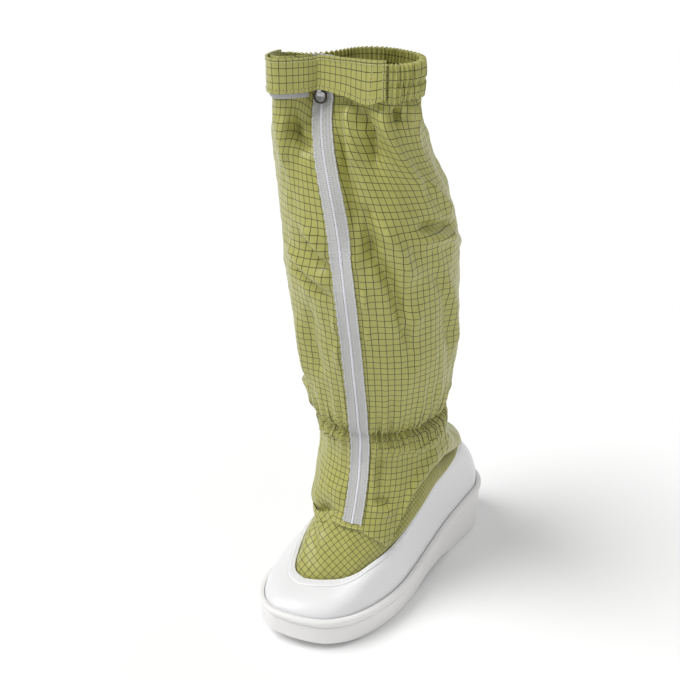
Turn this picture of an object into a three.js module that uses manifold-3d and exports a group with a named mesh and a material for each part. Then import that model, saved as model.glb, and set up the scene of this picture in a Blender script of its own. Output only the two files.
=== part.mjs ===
import * as THREE from 'three';
import { mergeVertices } from 'three/addons/utils/BufferGeometryUtils.js';
import Module from 'manifold-3d';

// A left cleanroom boot: a white slip-on shoe with a zipped cloth leg.
// Millimetres. +X is the outer side, -Y the toe, +Z up.
// The origin is on the floor, under the middle of the heel tread.

const wasm = await Module();
wasm.setup();

// Driving dimensions of the shoe
const soleLength = 250;
const ballWidth = 99;
const heelSetback = 34;
const beadForepart = 25.4;
const beadHeel = 44.6;
const bedForepart = 13;
const bedHeel = 27;
const toeSpring = 10.7;
const archLift = 4;
const lipWidth = 4.6;
const beadDepth = 6.2;
const edgeRound = 2.4;
const treadDepth = 2.5;
const treadPitch = 12;
const treadSlot = 3;
const treadWave = 2.4;
const treadBorder = 9;
const insoleThickness = 3;
const upperWall = 2;
const rimRaise = 0.8;
const rimWidth = 5;
const toplineHeight = 85;
const toeCapLength = 36;
const heelRake = 24;

// Driving dimensions of the cloth leg and what is sewn to it
const bootHeight = 432;
const legWidth = 127;
const legDepth = 122;
const legWall = 1.2;
const legShift = -9;
const ankleSetback = 78;
const legLean = 50;
const zipTurn = 22;
const throatTurn = 34;
const collarShift = -11;
const collarSetback = 118;
const bandHeight = 24;
const pinchDepth = 5;
const cuffGap = 0.8;
const cuffThickness = 2.6;
const cuffRib = 0.9;
const cuffRibs = 20;
const strapThickness = 2;
const strapStandoff = 8.4;
const strapHem = 0.8;
const patchThickness = 1.2;
const patchInsetTurn = 6;
const patchEndTurn = -22;
const hemTurn = 20;
const seamGapTurn = 3;
const seamTurn = 66;
const strapEndTurn = -97;
const cuffEndTurn = -104;

// Driving dimensions of the zip
const tapeHalf = 7.4;
const tapeThickness = 0.8;
const slitHalf = 2.3;
const coilHeight = 1.8;
const sliderLength = 9;
const sliderWidth = 7;
const sliderPlate = 1.8;
const sliderDrop = 28;
const loopWidth = 2.6;
const loopWall = 0.8;
const pullRadius = 4.2;
const pullWire = 0.65;
const gap = 0.3;
const tuckGap = 1;

// How finely the forms are cut
const stations = 32;
const legColumns = 17;
const upperRows = 7;
const slotWaves = 6;
const ribSteps = 4;

// Outline of the sole: half widths as shares of the ball width
const solePlan = [
  { along: 0, lateral: 0, medial: 0 },
  { along: 0.012, lateral: 0.14, medial: 0.14 },
  { along: 0.045, lateral: 0.25, medial: 0.25 },
  { along: 0.1, lateral: 0.325, medial: 0.325 },
  { along: 0.18, lateral: 0.346, medial: 0.345 },
  { along: 0.3, lateral: 0.369, medial: 0.33 },
  { along: 0.42, lateral: 0.413, medial: 0.315 },
  { along: 0.52, lateral: 0.458, medial: 0.36 },
  { along: 0.62, lateral: 0.496, medial: 0.448 },
  { along: 0.7, lateral: 0.499, medial: 0.503 },
  { along: 0.78, lateral: 0.472, medial: 0.509 },
  { along: 0.86, lateral: 0.413, medial: 0.466 },
  { along: 0.93, lateral: 0.299, medial: 0.372 },
  { along: 0.975, lateral: 0.129, medial: 0.261 },
  { along: 0.995, lateral: -0.016, medial: 0.156 },
  { along: 1, lateral: -0.085, medial: 0.085 },
];

// Edge of the white upper: along its own length from the heel, half widths
// as shares of the ball width, height as a share of the topline height
const topline = [
  { along: 0, lateral: 0, medial: 0, rise: 1 },
  { along: 0.063, lateral: 0.141, medial: 0.141, rise: 1.006 },
  { along: 0.168, lateral: 0.242, medial: 0.242, rise: 1.015 },
  { along: 0.289, lateral: 0.303, medial: 0.313, rise: 1.012 },
  { along: 0.395, lateral: 0.333, medial: 0.343, rise: 0.988 },
  { along: 0.526, lateral: 0.364, medial: 0.369, rise: 0.871 },
  { along: 0.642, lateral: 0.374, medial: 0.379, rise: 0.759 },
  { along: 0.73, lateral: 0.364, medial: 0.369, rise: 0.688 },
  { along: 0.81, lateral: 0.333, medial: 0.343, rise: 0.635 },
  { along: 0.874, lateral: 0.283, medial: 0.303, rise: 0.571 },
  { along: 0.921, lateral: 0.202, medial: 0.263, rise: 0.524 },
  { along: 0.958, lateral: 0.111, medial: 0.222, rise: 0.506 },
  { along: 0.995, lateral: -0.02, medial: 0.141, rise: 0.488 },
  { along: 1, lateral: -0.05, medial: 0.05, rise: 0.482 },
];

// Side of the sole from the tread to the lip: rows are measured up from
// the tread or down from the bead's top, and out from the outline
const soleSide = [
  { from: 'tread', rise: 0, out: -4.4 },
  { from: 'tread', rise: 0.3 * edgeRound, out: -2.9 },
  { from: 'tread', rise: edgeRound, out: -2 },
  { from: 'bead', rise: -beadDepth - 2.2, out: -1.4 },
  { from: 'bead', rise: -beadDepth - 0.9, out: -2 },
  { from: 'bead', rise: -beadDepth, out: -1.5 },
  { from: 'bead', rise: -0.72 * beadDepth, out: -0.3 },
  { from: 'bead', rise: -0.4 * beadDepth, out: 0 },
  { from: 'bead', rise: -0.12 * beadDepth, out: -0.9 },
  { from: 'bead', rise: 0, out: -2.4 },
  { from: 'bead', rise: -0.3, out: -lipWidth },
];

// Rings of the leg from the ankle up: height as a share of the boot's,
// lean, half width and half depth as shares of their sizes, zip turn as a
// share, and how far the ring has gone over to the slack collar's form
const legRings = [
  { rise: 0.303, lean: 0, width: 0.787, depth: 0.911, turn: 0.86, slack: 0 },
  { rise: 0.341, lean: 0.06, width: 0.803, depth: 0.893, turn: 0.95, slack: 0 },
  { rise: 0.361, lean: 0.16, width: 0.756, depth: 0.836, turn: 1.02, slack: 0 },
  { rise: 0.382, lean: 0.18, width: 0.835, depth: 0.885, turn: 1.05, slack: 0 },
  { rise: 0.428, lean: 0.19, width: 0.898, depth: 0.918, turn: 1.03, slack: 0 },
  { rise: 0.479, lean: 0.24, width: 0.945, depth: 0.951, turn: 1.04, slack: 0 },
  { rise: 0.556, lean: 0.29, width: 0.976, depth: 0.984, turn: 1, slack: 0 },
  { rise: 0.637, lean: 0.37, width: 1, depth: 1, turn: 0.96, slack: 0 },
  { rise: 0.694, lean: 0.42, width: 1, depth: 0.984, turn: 0.9, slack: 0 },
  { rise: 0.752, lean: 0.52, width: 0.976, depth: 0.934, turn: 0.88, slack: 0.03 },
  { rise: 0.81, lean: 0.66, width: 0.913, depth: 0.82, turn: 0.76, slack: 0.15 },
  { rise: 0.852, lean: 0.76, width: 0.882, depth: 0.77, turn: 0.66, slack: 0.42 },
  { rise: 0.898, lean: 0.88, width: 0.85, depth: 0.74, turn: 0.5, slack: 0.78 },
];

// Plan of the slack collar, going round from the crease at the zip towards
// the outer side: places as shares of the leg's width and depth
const collarPlan = [
  { turn: 0, across: -0.094, ahead: 0.131 },
  { turn: 30, across: 0.102, ahead: 0.145 },
  { turn: 63, across: 0.307, ahead: 0.148 },
  { turn: 88, across: 0.394, ahead: 0.016 },
  { turn: 109, across: 0.354, ahead: -0.115 },
  { turn: 132, across: 0.244, ahead: -0.205 },
  { turn: 165, across: 0.047, ahead: -0.23 },
  { turn: 202, across: -0.173, ahead: -0.172 },
  { turn: 235, across: -0.339, ahead: -0.049 },
  { turn: 263, across: -0.378, ahead: 0.123 },
  { turn: 289, across: -0.323, ahead: 0.279 },
  { turn: 305, across: -0.236, ahead: 0.332 },
  { turn: 324, across: -0.165, ahead: 0.254 },
];

// How far the front strap's inner face stands off the leg: shares of its
// stand-off at the crease, where the slider is behind it
const strapStand = [
  { turn: -97, off: 0.26 },
  { turn: -70, off: 0.29 },
  { turn: -45, off: 0.54 },
  { turn: -20, off: 0.9 },
  { turn: 0, off: 1 },
  { turn: 20, off: 0.76 },
  { turn: 45, off: 0.31 },
  { turn: 66, off: 0.12 },
];

const up = new THREE.Vector3(0, 0, 1);

// Smooth curve through table rows: value of a column at a key
function along(rows, key, column, at) {
  const last = rows.length - 1;
  let k = 0;
  while (k < last - 1 && at > rows[k + 1][key]) k += 1;
  const slope = (i) => {
    const a = rows[Math.max(i - 1, 0)];
    const b = rows[Math.min(i + 1, last)];
    return (b[column] - a[column]) / (b[key] - a[key]);
  };
  const from = rows[k];
  const to = rows[k + 1];
  const step = to[key] - from[key];
  const t = THREE.MathUtils.clamp((at - from[key]) / step, 0, 1);
  const t2 = t * t;
  const t3 = t2 * t;
  return (2 * t3 - 3 * t2 + 1) * from[column] + (t3 - 2 * t2 + t) * step * slope(k)
    + (3 * t2 - 2 * t3) * to[column] + (t3 - t2) * step * slope(k + 1);
}

// The same for a table that closes on itself after a full turn
function around(rows, column, turn) {
  const at = THREE.MathUtils.euclideanModulo(turn, 360);
  const before = rows.slice(-3).map((row) => ({ ...row, turn: row.turn - 360 }));
  const after = rows.slice(0, 3).map((row) => ({ ...row, turn: row.turn + 360 }));
  return along([...before, ...rows, ...after], 'turn', column, at);
}

// A loop given by half widths, opened out as angles: 0 at the toe,
// positive towards the outer side, half a turn at the heel
function openLoop(rows, column) {
  const side = (row, sign, value) => ({ angle: sign * Math.acos(2 * row.along - 1), value });
  const outer = rows.map((row) => side(row, 1, row[column[0]]));
  const inner = rows.slice(1, -1).map((row) => side(row, -1, column[1] * row[column[2]]));
  const ring = [...outer, ...inner].sort((a, b) => a.angle - b.angle);
  const turn = 2 * Math.PI;
  const before = ring.slice(-3).map((row) => ({ ...row, angle: row.angle - turn }));
  const after = ring.slice(0, 3).map((row) => ({ ...row, angle: row.angle + turn }));
  return [...before, ...ring, ...after];
}

const soleLoop = openLoop(solePlan, ['lateral', -1, 'medial']);
const topLoop = openLoop(topline, ['lateral', -1, 'medial']);
const topRise = openLoop(topline, ['rise', 1, 'rise']);

const wrapAngle = (angle) => Math.atan2(Math.sin(angle), Math.cos(angle));
const lengthShare = (angle) => (1 + Math.cos(angle)) / 2;
const loopValue = (loop, angle) => along(loop, 'angle', 'value', wrapAngle(angle));

// Point of the sole's outline, moved out by some distance
function planPoint(angle, out) {
  const place = (a) => new THREE.Vector3(
    ballWidth * loopValue(soleLoop, a), heelSetback - soleLength * lengthShare(a), 0);
  const step = 0.01;
  const tangent = place(angle + step).sub(place(angle - step)).normalize();
  return place(angle).add(new THREE.Vector3(-tangent.y, tangent.x, 0).multiplyScalar(-out));
}

const soleShare = (y) => (heelSetback - y) / soleLength;
const ease = (t) => t * t * (3 - 2 * t);
const clamp01 = (t) => THREE.MathUtils.clamp(t, 0, 1);

// Heights along the sole: the heel's wedge, the toe's spring and the arch
const wedge = (y) => ease(clamp01((0.66 - soleShare(y)) / 0.66));
const spring = (y) => toeSpring * clamp01((soleShare(y) - 0.72) / 0.28) ** 2;
const arch = (y) => archLift * clamp01(1 - ((soleShare(y) - 0.41) / 0.13) ** 2);
const treadHeight = (y) => spring(y) + arch(y);
const beadHeight = (y) => beadForepart + (beadHeel - beadForepart) * wedge(y) + 0.7 * spring(y);
const bedHeight = (y) => bedForepart + (bedHeel - bedForepart) * wedge(y) + 0.7 * spring(y);

const stationAngles = Array.from({ length: 2 * stations }, (_, k) => (Math.PI * k) / stations);

// Two triangles over four corners
function quad(faces, a, b, c, d) {
  faces.push(a, b, c, a, c, d);
}

// Closed geometry with its faces pointing out
function solid(points, faces) {
  const geometry = new THREE.BufferGeometry();
  const flat = points.flatMap((p) => [p.x, p.y, p.z]);
  geometry.setAttribute('position', new THREE.Float32BufferAttribute(flat, 3));
  let volume = 0;
  for (let k = 0; k < faces.length; k += 3) {
    const [a, b, c] = [points[faces[k]], points[faces[k + 1]], points[faces[k + 2]]];
    volume += a.dot(b.clone().cross(c));
  }
  const outward = volume < 0 ? faces.slice().reverse() : faces;
  geometry.setIndex(outward);
  return geometry;
}

// A stack of closed rings with a strip of chords closing each end: each
// ring starts at the toe and goes round by the heel
function ringStack(rings) {
  const count = rings[0].length;
  const half = count / 2;
  const faces = [];
  for (let i = 0; i < rings.length - 1; i += 1) {
    for (let j = 0; j < count; j += 1) {
      const next = (j + 1) % count;
      quad(faces, i * count + j, i * count + next, (i + 1) * count + next, (i + 1) * count + j);
    }
  }
  const cap = (base, reverse) => {
    for (let k = 0; k < half; k += 1) {
      const four = [base + k, base + k + 1, base + ((count - k - 1) % count), base + ((count - k) % count)];
      const ring = reverse ? four.reverse() : four;
      const three = ring.filter((v, n) => ring.indexOf(v) === n);
      if (three.length === 3) faces.push(...three);
      else quad(faces, ...ring);
    }
  };
  cap(0, true);
  cap((rings.length - 1) * count, false);
  return solid(rings.flat(), faces);
}

// A wall between two grids of points: some cells may be left open, and
// every open edge is closed across the wall's thickness
function wallShell(outer, inner, closed, keep = () => true) {
  const rows = outer.length;
  const columns = outer[0].length;
  const spans = closed ? columns : columns - 1;
  const outside = (i, j) => i * columns + (j % columns);
  const inside = (i, j) => rows * columns + outside(i, j);
  const has = (i, j) => {
    if (i < 0 || i >= rows - 1) return false;
    if (!closed && (j < 0 || j >= spans)) return false;
    return keep(i, (j + columns) % columns);
  };
  const faces = [];
  const edge = (p, q) => quad(faces, outside(...q), outside(...p), inside(...p), inside(...q));
  for (let i = 0; i < rows - 1; i += 1) {
    for (let j = 0; j < spans; j += 1) {
      if (!has(i, j)) continue;
      const corners = [[i, j], [i, j + 1], [i + 1, j + 1], [i + 1, j]];
      const [a, b, c, d] = corners.map((corner) => inside(...corner));
      quad(faces, ...corners.map((corner) => outside(...corner)));
      quad(faces, a, d, c, b);
      if (!has(i - 1, j)) edge(corners[0], corners[1]);
      if (!has(i, j + 1)) edge(corners[1], corners[2]);
      if (!has(i + 1, j)) edge(corners[2], corners[3]);
      if (!has(i, j - 1)) edge(corners[3], corners[0]);
    }
  }
  return solid([...outer.flat(), ...inner.flat()], faces);
}

// Outward directions of a grid whose columns go round against the clock
// seen from above and whose rows go up
function gridNormals(grid, closed) {
  const columns = grid[0].length;
  return grid.map((row, i) => row.map((_, j) => {
    const left = closed ? (j + columns - 1) % columns : Math.max(j - 1, 0);
    const right = closed ? (j + 1) % columns : Math.min(j + 1, columns - 1);
    const below = grid[Math.max(i - 1, 0)][j];
    const above = grid[Math.min(i + 1, grid.length - 1)][j];
    const across = row[right].clone().sub(row[left]);
    return across.cross(above.clone().sub(below)).normalize();
  }));
}

const moved = (grid, normals, distance) => grid.map((row, i) => row.map((p, j) => (
  p.clone().addScaledVector(normals[i][j], distance(i, j)))));

function toManifold(geometry) {
  const bare = new THREE.BufferGeometry();
  bare.setAttribute('position', geometry.getAttribute('position'));
  if (geometry.getIndex()) bare.setIndex(geometry.getIndex());
  const merged = mergeVertices(bare, 1e-4);
  return new wasm.Manifold(new wasm.Mesh({
    numProp: 3,
    vertProperties: new Float32Array(merged.getAttribute('position').array),
    triVerts: new Uint32Array(merged.getIndex().array),
  }));
}

function fromManifold(body) {
  const mesh = body.getMesh();
  const geometry = new THREE.BufferGeometry();
  geometry.setAttribute('position', new THREE.Float32BufferAttribute(mesh.vertProperties, 3));
  geometry.setIndex(Array.from(mesh.triVerts));
  return geometry;
}

// Sole: side rows from the tread to the lip, then the bed inside the lip
function soleBody() {
  const rings = soleSide.map((row) => stationAngles.map((angle) => {
    const p = planPoint(angle, row.out);
    const base = row.from === 'tread' ? treadHeight(p.y) : beadHeight(p.y);
    return p.setZ(base + row.rise);
  }));
  const bed = stationAngles.map((angle) => {
    const p = planPoint(angle, -lipWidth);
    return p.setZ(bedHeight(p.y));
  });
  return ringStack([...rings, bed]);
}

// Wavy slots across the heel and the forefoot, kept inside a plain border
function treadSlots() {
  const slotShape = (y) => {
    const line = Array.from({ length: 2 * slotWaves + 1 }, (_, k) => {
      const x = ballWidth * (k / (2 * slotWaves) - 0.5) * 1.2;
      return new THREE.Vector2(x, y + (k % 2 ? -treadWave : treadWave) / 2);
    });
    const back = line.map((p) => new THREE.Vector2(p.x, p.y + treadSlot)).reverse();
    return new THREE.Shape([...line, ...back]);
  };
  const border = stationAngles.map((angle) => planPoint(angle, -treadBorder));
  const prism = ringStack([-10, 40].map((z) => border.map((p) => p.clone().setZ(z))));
  const first = Math.ceil((heelSetback - soleLength) / treadPitch);
  const last = Math.floor(heelSetback / treadPitch);
  let slots = null;
  for (let k = first; k < last; k += 1) {
    const y = (k + 0.5) * treadPitch;
    const share = soleShare(y);
    if (share > 0.27 && share < 0.5) continue;
    const depth = treadDepth + treadHeight(y) + 10;
    const bar = new THREE.ExtrudeGeometry(slotShape(y - treadSlot / 2), { depth, bevelEnabled: false });
    bar.translate(0, 0, -10);
    const cut = toManifold(bar);
    slots = slots ? slots.add(cut) : cut;
  }
  return slots.intersect(toManifold(prism));
}

const soleGeometry = fromManifold(toManifold(soleBody()).subtract(treadSlots()));

// The upper's foot stands in the sole's cup, a clearance inside the lip
const feather = -(lipWidth + gap);

function toplinePoint(angle) {
  const front = heelSetback - soleLength + toeCapLength;
  const back = heelSetback - heelRake;
  const share = lengthShare(angle);
  return new THREE.Vector3(
    ballWidth * loopValue(topLoop, angle), back + (front - back) * share,
    toplineHeight * loopValue(topRise, angle));
}

// The upper's profile is part of a quarter ellipse from feather to topline
function upperPoint(angle, t) {
  const foot = planPoint(angle, feather);
  foot.z = beadHeight(foot.y) - 1.5;
  const top = toplinePoint(angle);
  const roll = THREE.MathUtils.degToRad(47 + 20 * lengthShare(angle) ** 2);
  const inward = (1 - Math.cos(roll * t)) / (1 - Math.cos(roll));
  const rise = Math.sin(roll * t) / Math.sin(roll);
  return new THREE.Vector3(
    foot.x + (top.x - foot.x) * inward, foot.y + (top.y - foot.y) * inward,
    foot.z + (top.z - foot.z) * rise);
}

function upperNormal(angle, t) {
  const step = 0.01;
  const across = upperPoint(angle + step, t).sub(upperPoint(angle - step, t));
  const rise = upperPoint(angle, t + step).sub(upperPoint(angle, t - step));
  return across.cross(rise).normalize();
}

const upperRise = (angle, t) => {
  const step = 0.01;
  return upperPoint(angle, t).sub(upperPoint(angle, t - step)).normalize();
};

function upperGeometry() {
  const shares = Array.from({ length: upperRows }, (_, k) => k / upperRows);
  const rimStart = 1 - rimWidth / toeCapLength;
  const levels = [...shares.filter((t) => t < rimStart - 0.02), rimStart, rimStart + 0.02, 1];
  const foot = stationAngles.map((angle) => {
    const p = planPoint(angle, feather);
    return p.setZ(bedHeight(p.y) + gap);
  });
  const grid = [foot, ...levels.map((t) => stationAngles.map((angle) => upperPoint(angle, t)))];
  const normals = [stationAngles.map((angle) => upperNormal(angle, 0).setZ(0).normalize()),
    ...levels.map((t) => stationAngles.map((angle) => upperNormal(angle, t)))];
  const raised = (i) => (i > 0 && levels[i - 1] > rimStart ? rimRaise : 0);
  return wallShell(moved(grid, normals, raised), moved(grid, normals, () => -upperWall), true);
}

// Insole: lies on the bed inside the upper's wall
function insoleGeometry() {
  const out = feather - upperWall - gap;
  const ring = (lift) => stationAngles.map((angle) => {
    const p = planPoint(angle, out);
    return p.setZ(bedHeight(p.y) + lift);
  });
  return ringStack([ring(gap), ring(gap + insoleThickness)]);
}

// One closed section of the leg at a height, by the turn from the zip
function ringPoint(row, turn) {
  const angle = THREE.MathUtils.degToRad(turn);
  const twist = THREE.MathUtils.degToRad(zipTurn * row.turn);
  const side = (legWidth / 2) * row.width * Math.sin(angle);
  const front = (legDepth / 2) * row.depth * Math.cos(angle);
  const round = new THREE.Vector3(
    legShift + side * Math.cos(twist) + front * Math.sin(twist),
    -ankleSetback - legLean * row.lean + side * Math.sin(twist) - front * Math.cos(twist), 0);
  const slack = new THREE.Vector3(
    collarShift + legWidth * around(collarPlan, 'across', turn),
    -collarSetback - legDepth * around(collarPlan, 'ahead', turn), 0);
  return round.lerp(slack, row.slack).setZ(bootHeight * row.rise);
}

// Where a column of the leg meets the topline
function toplineAngle(turn) {
  const angle = THREE.MathUtils.degToRad(turn);
  return wrapAngle(angle + THREE.MathUtils.degToRad(throatTurn) * Math.cos(angle / 2) ** 4);
}

// Below the ankle the cloth runs from under the topline up to the first
// ring: it swells over the rim at the sides and falls back at the throat
function vampPoint(turn, t) {
  const at = toplineAngle(turn);
  const rise = upperRise(at, 1);
  const normal = upperNormal(at, 1);
  const start = upperPoint(at, 1).addScaledVector(rise, 1.5).addScaledVector(normal, rimRaise + 1.2);
  const end = ringPoint(legRings[0], turn);
  const front = clamp01(Math.cos(at)) ** 2;
  const side = Math.sin(at) ** 2;
  const back = clamp01(-Math.cos(at)) ** 2;
  const out = new THREE.Vector3(Math.sin(at), -Math.cos(at), 0);
  const lean = THREE.MathUtils.degToRad(-30 * front + 22 * side - 4 * back);
  const leave = out.clone().multiplyScalar(Math.sin(lean)).addScaledVector(up, Math.cos(lean));
  const first = start.clone().addScaledVector(leave, 14 * front + 17 * side + 13 * back);
  const second = end.clone().addScaledVector(up, -(36 * front + 17 * side + 14 * back))
    .addScaledVector(out, 3 * front + 1 * side + 3 * back);
  return new THREE.CubicBezierCurve3(start, first, second, end).getPoint(t);
}

function tuckPoint(turn, t, rise, out) {
  const at = toplineAngle(turn);
  return upperPoint(at, t).addScaledVector(upperRise(at, t), rise)
    .addScaledVector(upperNormal(at, t), out);
}

// Rows of the leg from the tucked edge to the collar's top
const bandTop = 1;
const bandBottom = bandTop - bandHeight / bootHeight;
const pinch = bandBottom - pinchDepth / bootHeight;
const collarRing = (rise) => ({ rise, lean: 1, width: 0.8, depth: 0.6, turn: 0, slack: 1 });
const vampLevels = [0, 0.15, 0.32, 0.49, 0.61, 0.73, 0.86];
const legRows = [
  (turn) => tuckPoint(turn, 0.78, 0, -(upperWall + tuckGap)),
  (turn) => tuckPoint(turn, 1, 0, -(upperWall + tuckGap)),
  (turn) => tuckPoint(turn, 1, tuckGap, -upperWall),
  ...vampLevels.map((t) => (turn) => vampPoint(turn, t)),
  ...legRings.map((row) => (turn) => ringPoint(row, turn)),
  ...[pinch, bandBottom, (bandBottom + bandTop) / 2, bandTop].map(
    (rise) => (turn) => ringPoint(collarRing(rise), turn)),
];
const topRow = legRows.length - 1;
const bandRow = topRow - 2;
const pinchRow = topRow - 3;
const tuckRows = 3;
const zipRow = tuckRows + 3;

// Columns go round from the zip's outer edge by the back: the first and
// last two follow the slit and the tape, at a set distance from the zip
function rowTurns(row) {
  const arc = row(2).distanceTo(row(-2)) / 4;
  const slit = slitHalf / arc;
  const tape = tapeHalf / arc;
  const free = Array.from({ length: 2 * legColumns + 1 }, (_, k) => (
    tape + ((360 - 2 * tape) * k) / (2 * legColumns)));
  return [slit, ...free, 360 - slit];
}

const legTurns = legRows.map(rowTurns);
const legGrid = legRows.map((row, i) => legTurns[i].map((turn) => row(turn)));
const legNormals = gridNormals(legGrid, true);
const lastColumn = legGrid[0].length - 1;

function legGeometry() {
  const open = (i, j) => !(j === lastColumn && i >= zipRow);
  return wallShell(legGrid, moved(legGrid, legNormals, () => -legWall), true, open);
}

// A flat piece lying on the leg over a range of rows and columns
function overlay(rows, columns, lift, thickness, ways = legNormals) {
  const pick = (grid) => rows.map((i) => columns.map((j) => grid[i][j]));
  const base = pick(legGrid);
  const normals = pick(ways);
  const low = moved(base, normals, (i, j) => lift(rows[i], columns[j]));
  const high = moved(base, normals, (i, j) => lift(rows[i], columns[j]) + thickness(rows[i], columns[j]));
  return wallShell(high, low, false);
}

const range = (from, to) => Array.from({ length: to - from + 1 }, (_, k) => from + k);
const signedTurn = (i, j) => (legTurns[i][j] > 180 ? legTurns[i][j] - 360 : legTurns[i][j]);

// The two tapes lie on the cloth beside the slit
const zipRows = range(zipRow, topRow);
const zipTape = (columns) => overlay(zipRows, columns, () => gap, () => tapeThickness);
const tapeOuter = zipTape([0, 1]);
const tapeInner = zipTape([lastColumn - 1, lastColumn]);

// Local axes at the zip's middle: across, out of the cloth and along it
function zipFrame(i) {
  const left = legGrid[i][0];
  const right = legGrid[i][lastColumn];
  const middle = left.clone().add(right).multiplyScalar(0.5);
  const out = legNormals[i][0].clone().add(legNormals[i][lastColumn]).normalize();
  const across = left.clone().sub(right).normalize();
  return { middle, out, across };
}

// Coil: a low rounded strip that fills the slit between the two tapes
function coilGeometry() {
  const coilHalf = slitHalf - gap;
  const facets = 3;
  const section = (i, lift) => {
    const { middle, out, across } = zipFrame(i);
    return Array.from({ length: facets + 1 }, (_, k) => {
      const turn = (Math.PI * k) / facets;
      return middle.clone().addScaledVector(across, coilHalf * Math.cos(turn))
        .addScaledVector(out, gap + lift * (0.35 + 0.65 * Math.sin(turn)));
    });
  };
  const high = zipRows.map((i) => section(i, coilHeight));
  const base = zipRows.map((i) => section(i, 0));
  return wallShell(high, base, false);
}

// Strap and patch stand off level, along directions eased round the crease
const bandWays = legNormals.map((row) => row.map((_, j) => {
  const near = [row.length - 1, 0, 1].map((step) => row[(j + step) % row.length]);
  return near[0].clone().add(near[1]).add(near[2]).setZ(0).normalize();
}));

const columnsBetween = (from, to) => {
  const turned = range(0, lastColumn).map((j) => ({ j, turn: signedTurn(topRow, j) }));
  const picked = turned.filter(({ turn }) => turn >= from && turn <= to);
  return picked.sort((a, b) => a.turn - b.turn).map(({ j }) => j);
};

const strapColumns = columnsBetween(strapEndTurn, seamTurn);
const strapLift = (i, j) => strapStandoff * along(strapStand, 'turn', 'off', signedTurn(i, j));
const hemmed = (i, j) => strapThickness + (signedTurn(i, j) > seamTurn - hemTurn ? strapHem : 0);
const strapGeometry = overlay(range(bandRow, topRow), strapColumns, strapLift, hemmed, bandWays);

const patchColumns = columnsBetween(strapEndTurn + patchInsetTurn, patchEndTurn);
const patchGeometry = overlay(
  range(pinchRow, topRow - 1), patchColumns, () => gap, () => patchThickness, bandWays);

// Cuff: a gathered casing from the strap's seam round the back, with its
// ribs standing proud of a plain inner face
function cuffGeometry() {
  const from = seamTurn + seamGapTurn;
  const to = 360 + cuffEndTurn;
  const steps = cuffRibs * ribSteps;
  const turns = Array.from({ length: steps + 1 }, (_, k) => from + ((to - from) * k) / steps);
  const rises = [0, 0.2, 0.8, 1];
  const place = (turn, share) => {
    const rise = bandBottom + (bandTop - bandBottom) * share;
    const p = ringPoint(collarRing(rise), turn);
    const side = ringPoint(collarRing(rise), turn + 2).sub(ringPoint(collarRing(rise), turn - 2));
    const way = side.cross(up).normalize();
    return { p, way };
  };
  const inner = rises.map((share) => turns.map((turn) => {
    const { p, way } = place(turn, share);
    return p.addScaledVector(way, cuffGap);
  }));
  const outer = rises.map((share) => turns.map((turn, k) => {
    const { p, way } = place(turn, share);
    const rounded = 0.55 + 0.45 * Math.sin(Math.PI * clamp01(share));
    const rib = cuffRib * Math.cos((2 * Math.PI * k) / ribSteps);
    return p.addScaledVector(way, cuffGap + cuffThickness * rounded + rib);
  }));
  return wallShell(outer, inner, false);
}

// Slider: a plate over the coil with an arched loop on it, and a round
// wire pull hanging in the loop
const zipTop = zipFrame(topRow);
const zipLow = zipFrame(bandRow);
const zipAlong = zipTop.middle.clone().sub(zipLow.middle).normalize();
const zipOut = zipTop.out.clone().addScaledVector(zipAlong, -zipTop.out.dot(zipAlong)).normalize();
const zipAcross = zipAlong.clone().cross(zipOut).normalize();
const plateLift = gap + coilHeight + gap;
const loopHeight = 2 * pullWire + 2 * gap + loopWall;

// A turned group: its own X is across the zip, Y along it, Z out of it
function zipGroup(drop, lift) {
  const group = new THREE.Group();
  const basis = new THREE.Matrix4().makeBasis(zipAcross, zipAlong, zipOut);
  group.quaternion.setFromRotationMatrix(basis);
  group.position.copy(zipTop.middle).addScaledVector(zipAlong, -drop).addScaledVector(zipOut, lift);
  return group;
}

function sliderGeometry() {
  const plate = new THREE.Shape();
  const halfWidth = sliderWidth / 2;
  const waist = 0.72;
  plate.moveTo(-halfWidth * waist, -sliderLength / 2);
  plate.lineTo(halfWidth * waist, -sliderLength / 2);
  plate.lineTo(halfWidth, sliderLength * 0.15);
  plate.quadraticCurveTo(halfWidth, sliderLength / 2, 0, sliderLength / 2);
  plate.quadraticCurveTo(-halfWidth, sliderLength / 2, -halfWidth, sliderLength * 0.15);
  const body = new THREE.ExtrudeGeometry(plate, { depth: sliderPlate, bevelEnabled: false, curveSegments: 5 });
  const arch = new THREE.Shape();
  const half = pullWire + gap + loopWall;
  arch.moveTo(-half, -0.4);
  arch.lineTo(-half, loopHeight - half);
  arch.absarc(0, loopHeight - half, half, Math.PI, 0, true);
  arch.lineTo(half, -0.4);
  arch.lineTo(half - loopWall, -0.4);
  arch.lineTo(half - loopWall, loopHeight - half);
  arch.absarc(0, loopHeight - half, half - loopWall, 0, Math.PI, false);
  arch.lineTo(-half + loopWall, -0.4);
  const loop = new THREE.ExtrudeGeometry(arch, { depth: loopWidth, bevelEnabled: false, curveSegments: 6 });
  loop.translate(0, 0, -loopWidth / 2);
  loop.rotateY(Math.PI / 2);
  loop.rotateX(Math.PI / 2);
  loop.translate(0, 0, sliderPlate);
  return fromManifold(toManifold(body).add(toManifold(loop)));
}

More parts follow.
